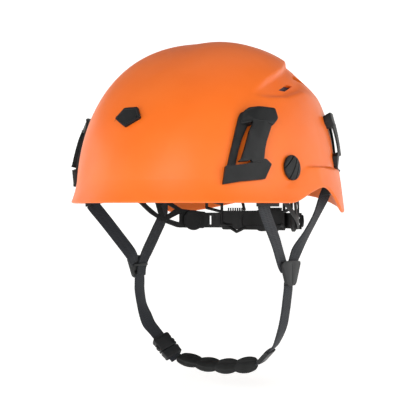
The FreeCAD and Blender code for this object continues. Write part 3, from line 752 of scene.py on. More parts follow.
def slot_cutters():
    """Prisms that open the accessory slots."""
    cutters = []
    for side, _ in SIDES:
        outline = rounded([(-6.9, -3.9), (6.9, -3.9), (6.9, 3.9), (-6.9, 3.9)], 1.0)
        cutter = prism("slot_cutter", outline, -12, 8)
        settle(cutter, dome_frame(SLOT_TURN, SLOT_Z, side))
        outward(cutter)
        cutters.append(cutter)
    return cutters


class HELMET_OT_liner(bpy.types.Operator):
    """Models the foam liner with its vent channels"""
    bl_idname = "helmet.liner"
    bl_label = "Liner"

    def execute(self, context):
        liner = wall("foam_liner", -SHELL_WALL - 0.5, -18.0, liner_rim, 160, 60, 6, 60, True, False)
        for cutter in vent_cutters((REAR_VENT,)) + slot_cutters():
            cut_away(liner, cutter)
        complete(liner, "helmet", "foam", *[name for name in frame["nodes"] if name.startswith("liner")],
                 angle=40)
        return {"FINISHED"}



# ---------- swept forms ----------
def tube(name, stations, around, place):
    """Closed form swept along a line: place gives a point for a share of the line and an angle round
    it. A sphere's rings become the stations and its poles close the ends."""
    start_clean()
    bpy.ops.mesh.primitive_uv_sphere_add(segments=around, ring_count=stations, radius=1.0)
    piece = named(name)
    unit = places(piece)
    share = np.clip(0.5 - np.arcsin(np.clip(unit[:, 2], -1, 1)) / np.pi, 0, 1)
    angle = np.arctan2(unit[:, 1], unit[:, 0])
    put(piece, place(share, angle) * MM)
    outward(piece)
    return piece


def unit_rows(rows):
    return rows / (np.linalg.norm(rows, axis=1, keepdims=True) + 1e-12)


def smooth_line(knots, spacing):
    """Rows on a smooth line through knots of any width; the first three columns are the place."""
    knots = np.asarray(knots, float)
    padded = np.vstack([2 * knots[0] - knots[1], knots, 2 * knots[-1] - knots[-2]])
    rows = []
    for before, start, end, after in zip(padded, padded[1:], padded[2:], padded[3:]):
        for part in np.linspace(0, 1, 24, endpoint=False):
            rows.append(0.5 * (2 * start + (end - before) * part
                               + (2 * before - 5 * start + 4 * end - after) * part ** 2
                               + (3 * start - before - 3 * end + after) * part ** 3))
    rows = np.array(rows + [knots[-1]])
    gone = np.concatenate([[0], np.cumsum(np.linalg.norm(np.diff(rows[:, :3], axis=0), axis=1))])
    count = max(4, int(gone[-1] / spacing))
    even = np.linspace(0, gone[-1], count + 1)
    return np.stack([np.interp(even, gone, rows[:, k]) for k in range(rows.shape[1])], 1), gone[-1]


def webbing(name, knots, body, *stands_for, side=LEFT):
    """Flat woven strap through knots of place, width direction and share of the full width."""
    rows, length = smooth_line(knots, 1.3)
    columns = 8
    start_clean()
    bpy.ops.mesh.primitive_grid_add(x_subdivisions=columns, y_subdivisions=len(rows) - 1, size=1.0)
    piece = named(name)
    unit = places(piece)[:, :2] + 0.5
    row = np.rint(unit[:, 1] * (len(rows) - 1)).astype(int)
    along = unit_rows(np.gradient(rows[:, :3], axis=0))
    wide = rows[:, 3:6] - along * np.sum(rows[:, 3:6] * along, 1, keepdims=True)
    wide = unit_rows(wide)
    thick = np.cross(along, wide)
    offset = (unit[:, 0] - 0.5) * 2
    full = sizes().webbing_width / MM - 0.4
    points = rows[row, :3] + wide[row] * (offset * full / 2 * rows[row, 6])[:, None]
    points = points - thick[row] * (0.25 * offset ** 2)[:, None]
    points[:, 0] *= side
    put(piece, points * MM)
    weave = piece.data.uv_layers.active.data
    scaled = np.zeros(len(weave) * 2)
    weave.foreach_get("uv", scaled)
    scaled = scaled.reshape(-1, 2) * np.array([sizes().webbing_width, length * MM])
    weave.foreach_set("uv", scaled.ravel())
    add_modifier(piece, "SOLIDIFY", thickness=sizes().webbing_thickness - 0.1 * MM, offset=0.0)
    bevel(piece, 0.35, 2, 60)
    outward(piece)
    return complete(piece, body, "webbing", *stands_for, angle=50)


# ---------- badge, slot covers and lamp clips ----------
def united(first, *others):
    """Boolean union; the others are used up."""
    for other in others:
        add_modifier(first, "BOOLEAN", object=other, operation="UNION", solver="EXACT")
        bpy.data.objects.remove(other, do_unlink=True)
    return first


def copied(piece, name):
    """A copy with its own mesh."""
    activate(piece)
    bpy.ops.object.duplicate(linked=False)
    return named(name)


class HELMET_OT_badge(bpy.types.Operator):
    """Models the five-sided badge on the brow"""
    bl_idname = "helmet.badge"
    bl_label = "Brow badge"

    def execute(self, context):
        per_degree = 2.0
        outline = [(0, 63.0), (7.1, 70.4), (3.7, 79.2), (-3.7, 79.2), (-7.1, 70.4)]
        badge = prism("brow_badge", rounded([(x * per_degree, z) for x, z in outline], 0.9), -1.0, 2.6)
        edit(badge, "DESELECT")
        leave_edit()
        for face in badge.data.polygons:
            face.select = face.normal.z > 0.9
        bpy.ops.object.mode_set(mode="EDIT")
        bpy.ops.mesh.select_mode(type="FACE")
        bpy.ops.mesh.inset(thickness=1.5 * MM, depth=0)
        bpy.ops.mesh.inset(thickness=0.35 * MM, depth=-0.35 * MM)
        bpy.ops.mesh.select_mode(type="VERT")
        leave_edit()
        bevel(badge, 0.35, 2, 50)
        slice_up(badge, 3.0)
        wrapped(badge, 0.0, per_degree)
        complete(badge, "helmet", "trim_plastic", "front_badge")
        return {"FINISHED"}


class HELMET_OT_slot_covers(bpy.types.Operator):
    """Models the two round slot covers with their fan of grooves"""
    bl_idname = "helmet.slot_covers"
    bl_label = "Slot covers"

    def execute(self, context):
        grooves = (((3.2, 11.5), (-11.0, -0.6)), ((6.6, 9.6), (-5.6, -9.6)), ((9.4, 7.0), (2.0, -11.5)))
        for side, name in SIDES:
            start_clean()
            bpy.ops.mesh.primitive_cylinder_add(vertices=72, radius=10.9 * MM, depth=2.2 * MM,
                                                location=(0, 0, 1.1 * MM))
            cover = named("slot_cover_" + name)
            settle(cover, cover.matrix_world.copy())
            bevel(cover, 0.8, 3, 50)
            for start, end in grooves:
                reach = Vector(end) - Vector(start)
                start_clean()
                bpy.ops.mesh.primitive_cube_add(size=1.0)
                cutter = named("groove_cutter")
                middle = (Vector(start) + Vector(end)) / 2
                turn = Matrix.Rotation(math.atan2(reach.y, reach.x), 4, "Z")
                scale = Matrix.Diagonal((reach.length * 1.1 * MM, 0.95 * MM, 2.0 * MM, 1))
                settle(cutter, Matrix.Translation((middle.x * MM, middle.y * MM, 2.0 * MM)) @ turn @ scale)
                outward(cutter)
                cut_away(cover, cutter)
            slice_up(cover, 3.5)
            flat = places(cover) / MM
            radius = np.hypot(flat[:, 0], flat[:, 1])
            crown = 1.5 * (1 - np.clip(radius / 10.9, 0, 1) ** 2)
            flat[:, 2] += np.where(flat[:, 2] > 0.6, crown, 0)
            put(cover, flat * MM)
            start_clean()
            tongue = prism("cover_tongue",
                           rounded([(-6.2, -3.2), (6.2, -3.2), (6.2, 3.2), (-6.2, 3.2)], 0.8),
                           -9.0, 0.4)
            cover = joined([cover, tongue], "slot_cover_" + name)
            settle(cover, dome_frame(SLOT_TURN, SLOT_Z, side, 0.3))
            outward(cover)
            complete(cover, "slot_cover_" + name, "trim_plastic", "slot_cover_" + name)
        return {"FINISHED"}


CLIP_PER_DEGREE = 1.75


def clip_points(points):
    return [(x * CLIP_PER_DEGREE, z) for x, z in points]


def flat_clip():
    """One lamp clip laid flat: X in millimetres round the dome, Y its height, Z out of the shell."""
    block = prism("clip_block", rounded(clip_points([
        (-2.0, 66.0), (-1.0, 72.6), (1.0, 75.2), (6.5, 76.4), (14.0, 75.8), (14.9, 67.4), (12.4, 62.4),
        (11.6, 61.6), (9.6, 63.6), (3.4, 64.2), (2.0, 63.2), (-1.6, 63.4)]), 1.6), -0.6, 8.6)
    flat = places(block) / MM
    lean = np.clip(2.5 - flat[:, 0] / CLIP_PER_DEGREE, 0, 4.5) * 1.2
    flat[:, 2] -= np.where(flat[:, 2] > 0, lean, 0)
    put(block, flat * MM)
    bevel(block, 0.9, 3, 40)
    strip = prism("clip_strip", rounded(clip_points([
        (-8.3, 28.0), (-4.7, 28.5), (-4.3, 34.0), (-3.0, 43.2), (-1.6, 51.0), (0.3, 58.8), (2.8, 66.0),
        (0.8, 74.6), (-1.6, 73.0), (-2.5, 69.5), (-3.3, 64.5), (-4.2, 58.5), (-6.2, 44.4)]), 0.8), -0.6, 3.0)
    bevel(strip, 0.6, 2, 40)
    foot = prism("clip_foot", rounded(clip_points([
        (-10.1, 14.7), (-2.2, 17.3), (8.2, 19.3), (10.7, 30.9), (8.4, 34.6), (7.8, 35.2), (1.6, 32.9),
        (0.9, 31.2), (-5.0, 29.6), (-9.0, 29.2)]), 0.6), -0.6, 6.4)
    flat = places(foot) / MM
    share = np.clip((flat[:, 1] - 15.0) / 17.0, 0, 1)
    flat[:, 2] = np.where(flat[:, 2] > 0, 3.0 + 3.4 * share, flat[:, 2])
    put(foot, flat * MM)
    bevel(foot, 0.6, 2, 40)
    arm = prism("clip_arm", rounded(clip_points([
        (3.4, 65.6), (0.9, 56.5), (-0.6, 47.8), (-1.7, 41.3), (-3.0, 34.5), (-3.8, 33.1), (-4.3, 31.6),
        (-0.1, 32.7), (1.0, 33.6), (1.7, 31.4), (7.1, 33.2), (7.2, 34.8), (7.6, 41.9), (8.5, 48.5),
        (10.5, 57.3), (11.8, 62.6), (8.0, 65.6)]), 0.45), 5.2, 8.4)
    edit(arm)
    crease_start, crease_end = (Vector((x * CLIP_PER_DEGREE * MM, z * MM, 0)) for x,
                                z in ((8.3, 64.0), (2.1, 33.0)))
    reach = (crease_end - crease_start).normalized()
    bpy.ops.mesh.bisect(plane_co=crease_start, plane_no=(reach.y, -reach.x, 0))
    leave_edit()
    flat = places(arm) / MM
    away = ((flat[:, 0] - crease_start.x / MM) * -reach.y + (flat[:, 1] - crease_start.y / MM) * reach.x)
    flat[:, 2] -= np.where(flat[:, 2] > 6, np.clip(away - 0.3, 0, 12) * 0.26, 0)
    put(arm, flat * MM)
    bevel(arm, 0.5, 2, 40)
    start_clean()
    bpy.ops.mesh.primitive_uv_sphere_add(segments=16, ring_count=8, radius=0.8 * MM,
                                         location=(3.6 * CLIP_PER_DEGREE * MM, 72.6 * MM, 8.8 * MM))
    dimple = named("dimple_cutter")
    settle(dimple, dimple.matrix_world.copy())
    cut_away(block, dimple)
    return united(block, strip, foot, arm)


class HELMET_OT_lamp_clips(bpy.types.Operator):
    """Models the four lamp clips and lays them on the dome"""
    bl_idname = "helmet.lamp_clips"
    bl_label = "Lamp clips"

    def execute(self, context):
        front = flat_clip()
        slice_up(front, 4.0)
        for where, turn, flip, top, length in (("front", 57.0, 1, 76.4, 1.0),
                                               ("rear", 127.5, -1, 82.0, 0.84)):
            for side, name in SIDES:
                clip = copied(front, "lamp_clip_" + where + "_" + name)
                flat = places(clip)
                flat[:, 0] *= flip
                flat[:, 1] = top * MM - (76.4 * MM - flat[:, 1]) * length
                flat[:, 2] *= length
                put(clip, flat)
                wrapped(clip, turn, CLIP_PER_DEGREE, side)
                complete(clip, "helmet", "trim_plastic", "clip_" + where + "_" + name, angle=30)
        bpy.data.objects.remove(front, do_unlink=True)
        return {"FINISHED"}


# ---------- chin strap ----------
DIVIDER_X = 86.6
DIVIDER_Y = 3.4
DIVIDER_Z = -61.7
STRAP_X = DIVIDER_X - 1.6
PLATE_X = DIVIDER_X + 0.7
BUCKLE_START = Vector((-63.0, DIVIDER_Y, -127.5))
BUCKLE_LEAN = Vector((0.737, 0.0, -0.676)).normalized()
KEEPER_CENTRE = Vector((60.5, DIVIDER_Y, -139.0))
KEEPER_LEAN = Vector((-0.70, 0.0, -0.714)).normalized()


def turned_wide(lean, upright, fore):
    """Width direction square to a strap: a share in the loop's plane and a share front to back."""
    return (Vector((-lean.z, 0, lean.x)) * upright + Vector((0, fore, 0))).normalized()


BUCKLE_WIDE = turned_wide(BUCKLE_LEAN, 0.5, 0.866)
KEEPER_WIDE = turned_wide(KEEPER_LEAN, -0.18, 0.98)


def knot(place, wide, share=1.0):
    return tuple(place) + tuple(wide) + (share,)


class HELMET_OT_webbing(bpy.types.Operator):
    """Models the woven straps from the shell to the buckle and the chin pad"""
    bl_idname = "helmet.webbing"
    bl_label = "Chin webbing"

    def execute(self, context):
        lean = (0, 0.74, 0.67)
        rear_lean = (0, 0.745, -0.667)
        for side, name in SIDES:
            webbing("strap_front_" + name, [
                knot((94.9, -57.5, 1.0), lean), knot((94.2, -53.4, -3.4), lean),
                knot((91.4, -40, -17), lean),
                knot((88.6, -24, -33.5), lean), knot((STRAP_X + 0.6, -11.5, -47.5), lean),
                knot((STRAP_X, -7.2, -53.2), lean, 0.96), knot((STRAP_X + 0.2, -5.4, -56.2), lean, 0.88),
                knot((STRAP_X + 0.8, -4.0, -58.6), lean, 0.82)],
                "helmet", "strap_front_" + name, side=side)
            turned = (-0.27, 0.73, -0.63) if side == LEFT else rear_lean
            webbing("strap_rear_" + name, [
                knot((94.8, 57.5, 12.0), rear_lean), knot((94, 54.5, 7), rear_lean),
                knot((89.4, 46.5, -11.5), turned), knot((87.2, 31.6, -29), turned),
                knot((STRAP_X + 0.2, 18, -43.5), rear_lean),
                knot((STRAP_X + 0.1, 12.4, -50.6), (0, 0.82, -0.57), 0.95),
                knot((STRAP_X + 0.1, 8.6, -57.2), (0, 0.93, -0.36), 0.9),
                knot((STRAP_X + 0.1, 6.4, -63.5), (0, 0.99, -0.1), 0.88),
                knot((STRAP_X + 0.1, 5.4, -70.4), (0, 1, 0), 0.9)],
                "helmet", "strap_rear_" + name, side=side)
        hang = (0, 1, 0)
        webbing("chin_strap_left", [
            knot((STRAP_X, DIVIDER_Y, -70.0), hang, 0.94), knot((STRAP_X, DIVIDER_Y, -76), hang),
            knot((84.0, DIVIDER_Y, -84), hang), knot((82.0, DIVIDER_Y, -98), hang),
            knot((78.8, DIVIDER_Y, -112), hang),
            knot(KEEPER_CENTRE - KEEPER_LEAN * 17, KEEPER_WIDE),
            knot(KEEPER_CENTRE - KEEPER_LEAN * 9, KEEPER_WIDE),
            knot(KEEPER_CENTRE, KEEPER_WIDE), knot(KEEPER_CENTRE + KEEPER_LEAN * 9.5, KEEPER_WIDE)],
            "helmet", "chin_strap_left")
        webbing("chin_strap_right", [
            knot((-STRAP_X, DIVIDER_Y, -70.0), hang, 0.94), knot((-STRAP_X, DIVIDER_Y, -76), hang),
            knot((-84.9, DIVIDER_Y, -86), hang), knot((-82.2, DIVIDER_Y, -99), hang),
            knot((-77.4, DIVIDER_Y, -110.2), (0.2, 0.92, 0.2)),
            knot(BUCKLE_START - BUCKLE_LEAN * 14, BUCKLE_WIDE, 0.92),
            knot(BUCKLE_START - BUCKLE_LEAN * 5, BUCKLE_WIDE, 0.86),
            knot(BUCKLE_START + BUCKLE_LEAN * 6.4, BUCKLE_WIDE, 0.84)],
            "helmet", "chin_strap_right")
        webbing("chin_pad_strap", [
            knot(BUCKLE_START + BUCKLE_LEAN * step, BUCKLE_WIDE, 0.86) for step in (24.8, 27, 29, 31.0,
                                                                                    33.0)],
            "helmet", "chin_pad_strap")
        return {"FINISHED"}


class HELMET_OT_dividers(bpy.types.Operator):
    """Models the slotted dividers where the straps meet"""
    bl_idname = "helmet.dividers"
    bl_label = "Strap dividers"

    def execute(self, context):
        outline = rounded([(-15.6, 7.6), (-14.6, 9.9), (-6.0, 10.6), (0, 10.7), (6.0, 10.6), (14.6, 9.9),
                           (15.6, 7.6),
                           (8.2, -9.4), (5.4, -11.5), (-5.4, -11.5), (-8.2, -9.4)], 2.0, 4)
        slots = ([(-11.6, 6.6), (-1.4, 2.0), (-2.0, -0.8), (-10.8, 3.2)],
                 [(11.6, 6.6), (1.4, 2.0), (2.0, -0.8), (10.8, 3.2)],
                 [(-7.0, -3.8), (7.0, -3.8), (7.0, -6.6), (-7.0, -6.6)])
        for side, name in SIDES:
            plate = prism("divider_plate", outline, -1.5, 1.5)
            for slot in slots:
                cut_away(plate, prism("slot_tool", rounded(slot, 0.9), -5, 0.4))
            cut_away(plate, prism("crease_tool", [(-0.3, -10), (0.3, -10), (0.3, 8), (-0.3, 8)], 1.1, 3))
            bevel(plate, 0.4, 2, 50)
            bar = prism("divider_bar", [(-10.4, 0.2), (10.4, 0.2), (10.4, 2.6), (-10.4, 2.6)], -4.3, -1.0)
            bevel(bar, 0.5, 2, 40)
            plate = joined([plate, bar], "divider_" + name)
            plate.name = plate.data.name = "divider_" + name
            turn = Matrix(((0, 0, 1), (1, 0, 0), (0, 1, 0))).to_4x4()
            turn.translation = Vector((PLATE_X, DIVIDER_Y, DIVIDER_Z)) * MM
            if side == RIGHT:
                turn = Matrix.Scale(-1, 4, (1, 0, 0)) @ turn
            settle(plate, turn)
            outward(plate)
            complete(plate, "helmet", "buckle_plastic", "divider_" + name)
        return {"FINISHED"}


def local_frame(origin, along, across):
    """Matrix with X along, Y across and Z out of both."""
    across = across.normalized()
    out = along.cross(across).normalized()
    made = Matrix((along, out.cross(along), out)).transposed().to_4x4()
    made.translation = origin * MM
    return made


class HELMET_OT_buckle(bpy.types.Operator):
    """Models the side-release buckle: socket, plug and the two prongs"""
    bl_idname = "helmet.buckle"
    bl_label = "Side-release buckle"

    def execute(self, context):
        place = local_frame(BUCKLE_START, BUCKLE_LEAN, BUCKLE_WIDE)
        upper = [(4.0, 7.6), (4.4, 8.4), (5.4, 9.0), (6.8, 9.2), (8.0, 8.9), (8.8, 8.7), (9.8, 9.1),
                 (10.6, 8.9),
                 (11.0, 8.4), (16.4, 8.4), (17.2, 9.6), (18.6, 9.4), (19.0, 8.6)]
        outline = upper + [(a, -c) for a, c in reversed(upper)]
        socket = prism("buckle_socket", rounded(outline, 0.5), -4.0, 4.0)
        crown(socket, 10.5, 1.1)
        bevel(socket, 0.8, 3, 50)
        for a, width in ((6.4, 0.5),):
            for sign in (1, -1):
                low, high = sorted((sign * 3.1, sign * 4.6))
                cut_away(socket, prism("line_tool", [(a, -8), (a + width, -8), (a + width, 8), (a, 8)],
                                       low, high))
        cut_away(socket, prism("side_tool", [(10.6, -11), (16.6, -11), (16.6, 11), (10.6, 11)], -2.4, 2.4))
        cut_away(socket, prism("cavity_tool", [(8.6, -7.9), (20, -7.9), (20, 7.9), (8.6, 7.9)], -2.35, 2.35))
        cut_away(socket, prism("web_tool", [(3, -7.6), (9.1, -7.6), (9.1, 7.6), (3, 7.6)], -1.35, 1.35))
        settle(socket, place)
        outward(socket)
        complete(socket, "buckle_socket", "buckle_plastic", "buckle_socket", angle=35)

        half = [(19.7, 9.0), (21.0, 9.6), (23.6, 9.3), (25.4, 8.9), (27.4, 9.2), (28.4, 8.4)]
        plug = prism("buckle_plug", rounded(half + [(a, -c) for a, c in reversed(half)], 0.6), -3.3, 3.3)
        crown(plug, 10, 0.7)
        bevel(plug, 0.7, 3, 50)
        tongue = prism("plug_tongue", rounded([(10.2, -2.2), (22, -2.2), (22, 2.2), (10.2, 2.2)], 0.8),
                       -1.8, 1.8)
        plug = united(plug, tongue)
        cut_away(plug, prism("gap_tool", [(24.0, -8.1), (30, -8.1), (30, 8.1), (24.0, 8.1)], -1.3, 1.3))
        settle(plug, place)
        outward(plug)
        complete(plug, "helmet", "buckle_plastic", "buckle_plug", angle=35)

        for sign, name in ((1, "upper"), (-1, "lower")):
            arm = [(19.0, 5.3), (19.0, 7.5), (17.0, 7.6), (16.2, 9.4), (14.6, 10.3), (12.6, 10.2),
                   (11.2, 8.6),
                   (10.5, 6.6), (10.5, 5.3)]
            prong = prism("buckle_prong_" + name, rounded([(a, sign * c) for a, c in arm], 0.6), -1.9, 1.9)
            bevel(prong, 0.4, 2, 50)
            for a in (12.6, 13.8, 15.0):
                low, high = sorted((sign * 9.75, sign * 11))
                cut_away(prong, prism("grip_tool",
                                      [(a, low), (a + 0.45, low), (a + 0.45, high), (a, high)], -3, 3))
            settle(prong, place)
            outward(prong)
            complete(prong, "prong_" + name, "buckle_plastic", "buckle_prong_" + name, angle=35)
        return {"FINISHED"}


def crown(piece, half, rise):
    """Domes a flat moulding across its Y, so that the faces aren't dead flat."""
    slice_up(piece, 2.0, (1,))
    flat = places(piece) / MM
    flat[:, 2] -= np.sign(flat[:, 2]) * rise * (flat[:, 1] / half) ** 2
    put(piece, flat * MM)


class HELMET_OT_keeper(bpy.types.Operator):
    """Models the webbing sleeve at the end of the chin pad"""
    bl_idname = "helmet.keeper"
    bl_label = "Strap keeper"

    def execute(self, context):
        half = [(-9.0, 8.2), (-8.2, 9.2), (-5.0, 8.8), (1.0, 8.8), (4.4, 9.3), (5.2, 8.4)]
        sleeve = prism("strap_keeper", rounded(half + [(a, -c) for a, c in reversed(half)], 0.7), -2.5, 2.5)
        crown(sleeve, 9, 0.5)
        bevel(sleeve, 0.6, 3, 50)
        cut_away(sleeve, prism("web_tool", [(-12, -7.8), (8, -7.8), (8, 7.8), (-12, 7.8)], -1.2, 1.2))
        for a in (-5.6, 1.4):
            cut_away(sleeve, prism("line_tool", [(a, -9.5), (a + 0.5, -9.5), (a + 0.5, 9.5), (a, 9.5)],
                                   1.9, 3.2))
        settle(sleeve, local_frame(KEEPER_CENTRE, KEEPER_LEAN, KEEPER_WIDE))
        outward(sleeve)
        complete(sleeve, "keeper", "buckle_plastic", "strap_keeper", angle=35)
        return {"FINISHED"}


class HELMET_OT_chin_pad(bpy.types.Operator):
    """Models the scalloped rubber chin pad with its raised channel"""
    bl_idname = "helmet.chin_pad"
    bl_label = "Chin pad"

    def execute(self, context):
        start = np.array((-36.5, DIVIDER_Y, -147.0))
        end = np.array((53.0, DIVIDER_Y, -145.2))
        end_wide = np.array((-0.1, 0.35, 0.9))
        sag = 5.5
        scallops = 4
        half_width = 6.4
        half_thickness = 1.5
        channel_rise = 1.5
        crease_depth = 0.5
        line_depth = 0.35

        def place(share, angle):
            part = smooth(share * 1.02 - 0.01) * 0.12 + np.clip(share * 1.02 - 0.01, 0, 1) * 0.88
            centre = start + (end - start) * part[:, None]
            centre[:, 2] -= sag * 4 * part * (1 - part)
            run = end[0] - start[0]
            slope = (end[2] - start[2]) / run - sag * 4 * (1 - 2 * part) / run
            along = unit_rows(np.stack([np.ones_like(part), np.zeros_like(part), slope], 1))
            tilt = np.array(BUCKLE_WIDE) + (end_wide - np.array(BUCKLE_WIDE)) * part[:, None]
            wide = unit_rows(tilt - along * np.sum(tilt * along, 1, keepdims=True))
            deep = np.cross(along, wide)
            lobe = np.abs(np.sin(np.pi * scallops * np.clip((part - 0.02) / 0.96, 0, 1)))
            ends = np.clip(np.minimum(share, 1 - share) / 0.035, 0, 1) ** 0.5
            half = (half_width - 1.2 * part + (2.2 + 0.4 * part) * lobe ** 0.7) * ends
            across = np.sign(np.cos(angle)) * np.abs(np.cos(angle)) ** 0.75
            depth = np.sign(np.sin(angle)) * np.abs(np.sin(angle)) ** 0.6
            channel = smooth((across + 0.82) / 0.12) * (1 - smooth((across - 0.02) / 0.10))
            lines = np.exp(-((across - 0.34) / 0.05) ** 2) + np.exp(-((across - 0.62) / 0.05) ** 2)
            ridge = channel_rise * channel * (depth > 0) * depth
            crease = crease_depth * np.exp(-((lobe / 0.25) ** 2)) * (1 - channel) * (1 - np.abs(across))
            thick = (half_thickness + 0.9 * lobe) * ends
            rise = depth * (thick - crease * ends) + ridge * ends - line_depth * lines * (depth > 0) * ends
            return centre + wide * (across * half)[:, None] + deep * rise[:, None]

        pad = tube("chin_pad", 180, 112, place)
        complete(pad, "helmet", "soft_rubber", "chin_pad", angle=60)
        return {"FINISHED"}


# ---------- comfort pads ----------
def quilt(share, channels):
    """Sewn channels across a pad: 1 on the pillows and falling to 0 in the seams."""
    return np.abs(np.sin(np.pi * channels * share)) ** 0.35


class HELMET_OT_pads(bpy.types.Operator):
    """Models the comfort pads as crowned, sewn forms"""
    bl_idname = "helmet.pads"
    bl_label = "Comfort pads"

    def execute(self, context):
        self.brow()
        self.crown()
        self.sides()
        return {"FINISHED"}

    def brow(self):
        def place(share, angle):
            turn = np.radians(-56 + 112 * np.clip(share * 1.02 - 0.01, 0, 1))
            ends = np.clip(np.minimum(share, 1 - share) / 0.03, 0, 1) ** 0.5
            sine, cosine = np.sin(turn), np.cos(turn)
            outer = 1 / np.sqrt((sine / 80.9) ** 2 + (cosine / 108.9) ** 2)
            pillow = quilt(share, 7) * 0.75 + 0.25
            across = np.sign(np.sin(angle)) * np.abs(np.sin(angle)) ** 0.6
            depth = np.sign(np.cos(angle)) * np.abs(np.cos(angle)) ** 0.8
            reach = outer - 2.4 + depth * np.where(depth > 0, 2.2, 0.6 + 2.1 * pillow) * ends
            height = 26.0 + across * (8.6 - 0.5 * (1 - pillow)) * ends
            return np.stack([reach * sine, 5.0 - reach * cosine, height], 1)
        pad = tube("brow_pad", 150, 28, place)
        complete(pad, "helmet", "padding", "brow_pad", angle=60)

    def crown(self):
        start_clean()
        bpy.ops.mesh.primitive_uv_sphere_add(segments=96, ring_count=56, radius=1.0)
        pad = named("crown_pad")
        unit = places(pad)
        angle = np.degrees(np.arctan2(unit[:, 0], -unit[:, 1]))
        flat = np.hypot(unit[:, 0], unit[:, 1])
        lobes = 0.235 * (1 - 0.10 * np.cos(np.radians(angle * 4)))
        part = lobes * np.clip(flat, 0, 1)
        seam = np.minimum(np.abs(np.sin(np.radians(angle * 2))), 1.0)
        pillow = 0.35 + 0.65 * np.clip(seam * flat * 2.6, 0, 1) ** 0.5
        outer = skin_points(angle, part, -18.4, np.zeros_like(part), False)
        inner = skin_points(angle, part, -23.2, np.zeros_like(part), False)
        depth = np.sign(unit[:, 2]) * np.abs(unit[:, 2]) ** 0.7
        share = np.where(depth > 0, 0.36 - 0.36 * depth, 0.36 + 0.64 * -depth * pillow)
        put(pad, (outer + (inner - outer) * share[:, None]) * MM)
        outward(pad)
        complete(pad, "helmet", "padding", "crown_pad", angle=60)

    def sides(self):
        for side, name in SIDES:
            start_clean()
            bpy.ops.mesh.primitive_uv_sphere_add(segments=64, ring_count=36, radius=1.0)
            pad = named("side_pad_" + name)
            unit = places(pad)
            flat = np.hypot(unit[:, 0], unit[:, 1])
            angle = np.arctan2(unit[:, 1], unit[:, 0])
            square = 1 / (np.abs(np.cos(angle)) ** 5 + np.abs(np.sin(angle)) ** 5) ** 0.2
            turn = 90 + 14.4 * flat * np.cos(angle) * square
            height = 67 + 14.0 * flat * np.sin(angle) * square
            seam = np.clip(np.abs(turn - 90) / 2.2, 0, 1) ** 0.5
            depth = np.sign(unit[:, 2]) * np.abs(unit[:, 2]) ** 0.6
            offset = np.where(depth > 0, -21.0 + 1.6 * depth, -21.0 + 1.9 * depth * (0.35 + 0.65 * seam))
            points = dome(turn, height, offset, None, False)
            points[:, 0] *= side
            put(pad, points * MM)
            outward(pad)
            complete(pad, "helmet", "padding", angle=60)
        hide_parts("side_pads")


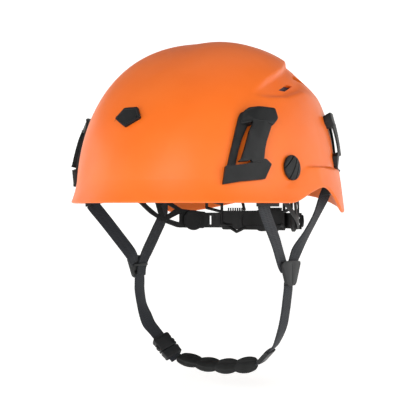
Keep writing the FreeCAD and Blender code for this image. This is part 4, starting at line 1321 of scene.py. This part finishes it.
class HELMET_OT_nape_plate(bpy.types.Operator):
    """Models the bowed nape plate with its toothed recess and comb edge"""
    bl_idname = "helmet.nape_plate"
    bl_label = "Nape plate"

    def execute(self, context):
        radius, centre_y, height = 82.2, 5.0, -16.6
        edge = []
        for index in range(8):
            start = 14.5 + 2.4 * index
            edge += [(start, 9.7), (start + 0.1, 12.8), (start + 1.1, 12.8), (start + 1.2, 9.7)]
        mirrored = [(-x, y) for x, y in reversed(edge)]
        plate = prism("nape_plate", [(-38.6, -8.4), (-37.4, -9.7), (37.4, -9.7), (38.6, -8.4), (38.6, 8.4),
                                     (37.4, 9.7)] + edge[::-1] + [(0, 9.9)] + mirrored[::-1]
                      + [(-37.4, 9.7), (-38.6, 8.4)], -1.0, 1.0)
        teeth = []
        for index in range(14):
            start = -14.6 + 3.2 * index
            teeth += [(start, -6.2), (start + 0.9, -5.0), (start + 2.3, -5.0), (start + 3.2, -6.2)]
        recess = prism("recess_tool", [(-17.2, -3.6), (-16.2, -5.6)] + teeth
                       + [(33.2, -5.0), (34.4, -3.0), (34.4, 3.0), (32.6, 5.2), (-15.4, 5.2),
                          (-17.2, 3.2)], -2.0, -0.2)
        cut_away(plate, recess)
        slice_up(plate, 3.0, (0,))
        flat = places(plate) / MM
        turn = flat[:, 0] / radius
        reach = radius + flat[:, 2]
        put(plate, np.stack([reach * np.sin(turn), centre_y + reach * np.cos(turn), height + flat[:, 1]],
                            1) * MM)
        outward(plate)
        complete(plate, "cradle", "black_nylon", "nape_plate", angle=35)
        return {"FINISHED"}


class HELMET_OT_frame_finishes(bpy.types.Operator):
    """Gives every frame part that stays visible its real material"""
    bl_idname = "helmet.frame_finishes"
    bl_label = "Frame finishes"

    def execute(self, context):
        for row in frame["record"]["subparts"]:
            part = frame["nodes"][row["node"]]
            if part.hide_render:
                continue
            part.data.materials.clear()
            part.data.materials.append(finish(row["material_slot"]))
        return {"FINISHED"}


class HELMET_PT_panel(bpy.types.Panel):
    """Lists the helmet's operators"""
    bl_idname = "HELMET_PT_panel"
    bl_label = "Climbing Helmet"
    bl_space_type = "VIEW_3D"
    bl_region_type = "UI"
    bl_category = "Helmet"

    def draw(self, context):
        for operator in OPERATORS:
            self.layout.operator(operator.bl_idname)
        for group in (context.scene.helmet_colours, context.scene.helmet_sizes):
            for name in group.bl_rna.properties.keys():
                if name not in ("rna_type", "name"):
                    self.layout.prop(group, name)


OPERATORS = (HELMET_OT_stage, HELMET_OT_shell, HELMET_OT_liner, HELMET_OT_badge, HELMET_OT_slot_covers,
             HELMET_OT_lamp_clips, HELMET_OT_webbing, HELMET_OT_dividers, HELMET_OT_buckle, HELMET_OT_keeper,
             HELMET_OT_chin_pad, HELMET_OT_pads, HELMET_OT_nape_plate, HELMET_OT_frame_finishes)
CLASSES = (HelmetColours, HelmetSizes) + OPERATORS + (HELMET_PT_panel,)


def register():
    for cls in CLASSES:
        bpy.utils.register_class(cls)
    bpy.types.Scene.helmet_colours = bpy.props.PointerProperty(type=HelmetColours)
    bpy.types.Scene.helmet_sizes = bpy.props.PointerProperty(type=HelmetSizes)


def unregister():
    del bpy.types.Scene.helmet_sizes
    del bpy.types.Scene.helmet_colours
    for cls in reversed(CLASSES):
        bpy.utils.unregister_class(cls)


def main():
    register()
    for operator in OPERATORS:
        group, name = operator.bl_idname.split(".")
        getattr(getattr(bpy.ops, group), name)()


if __name__ == "__main__":
    main()
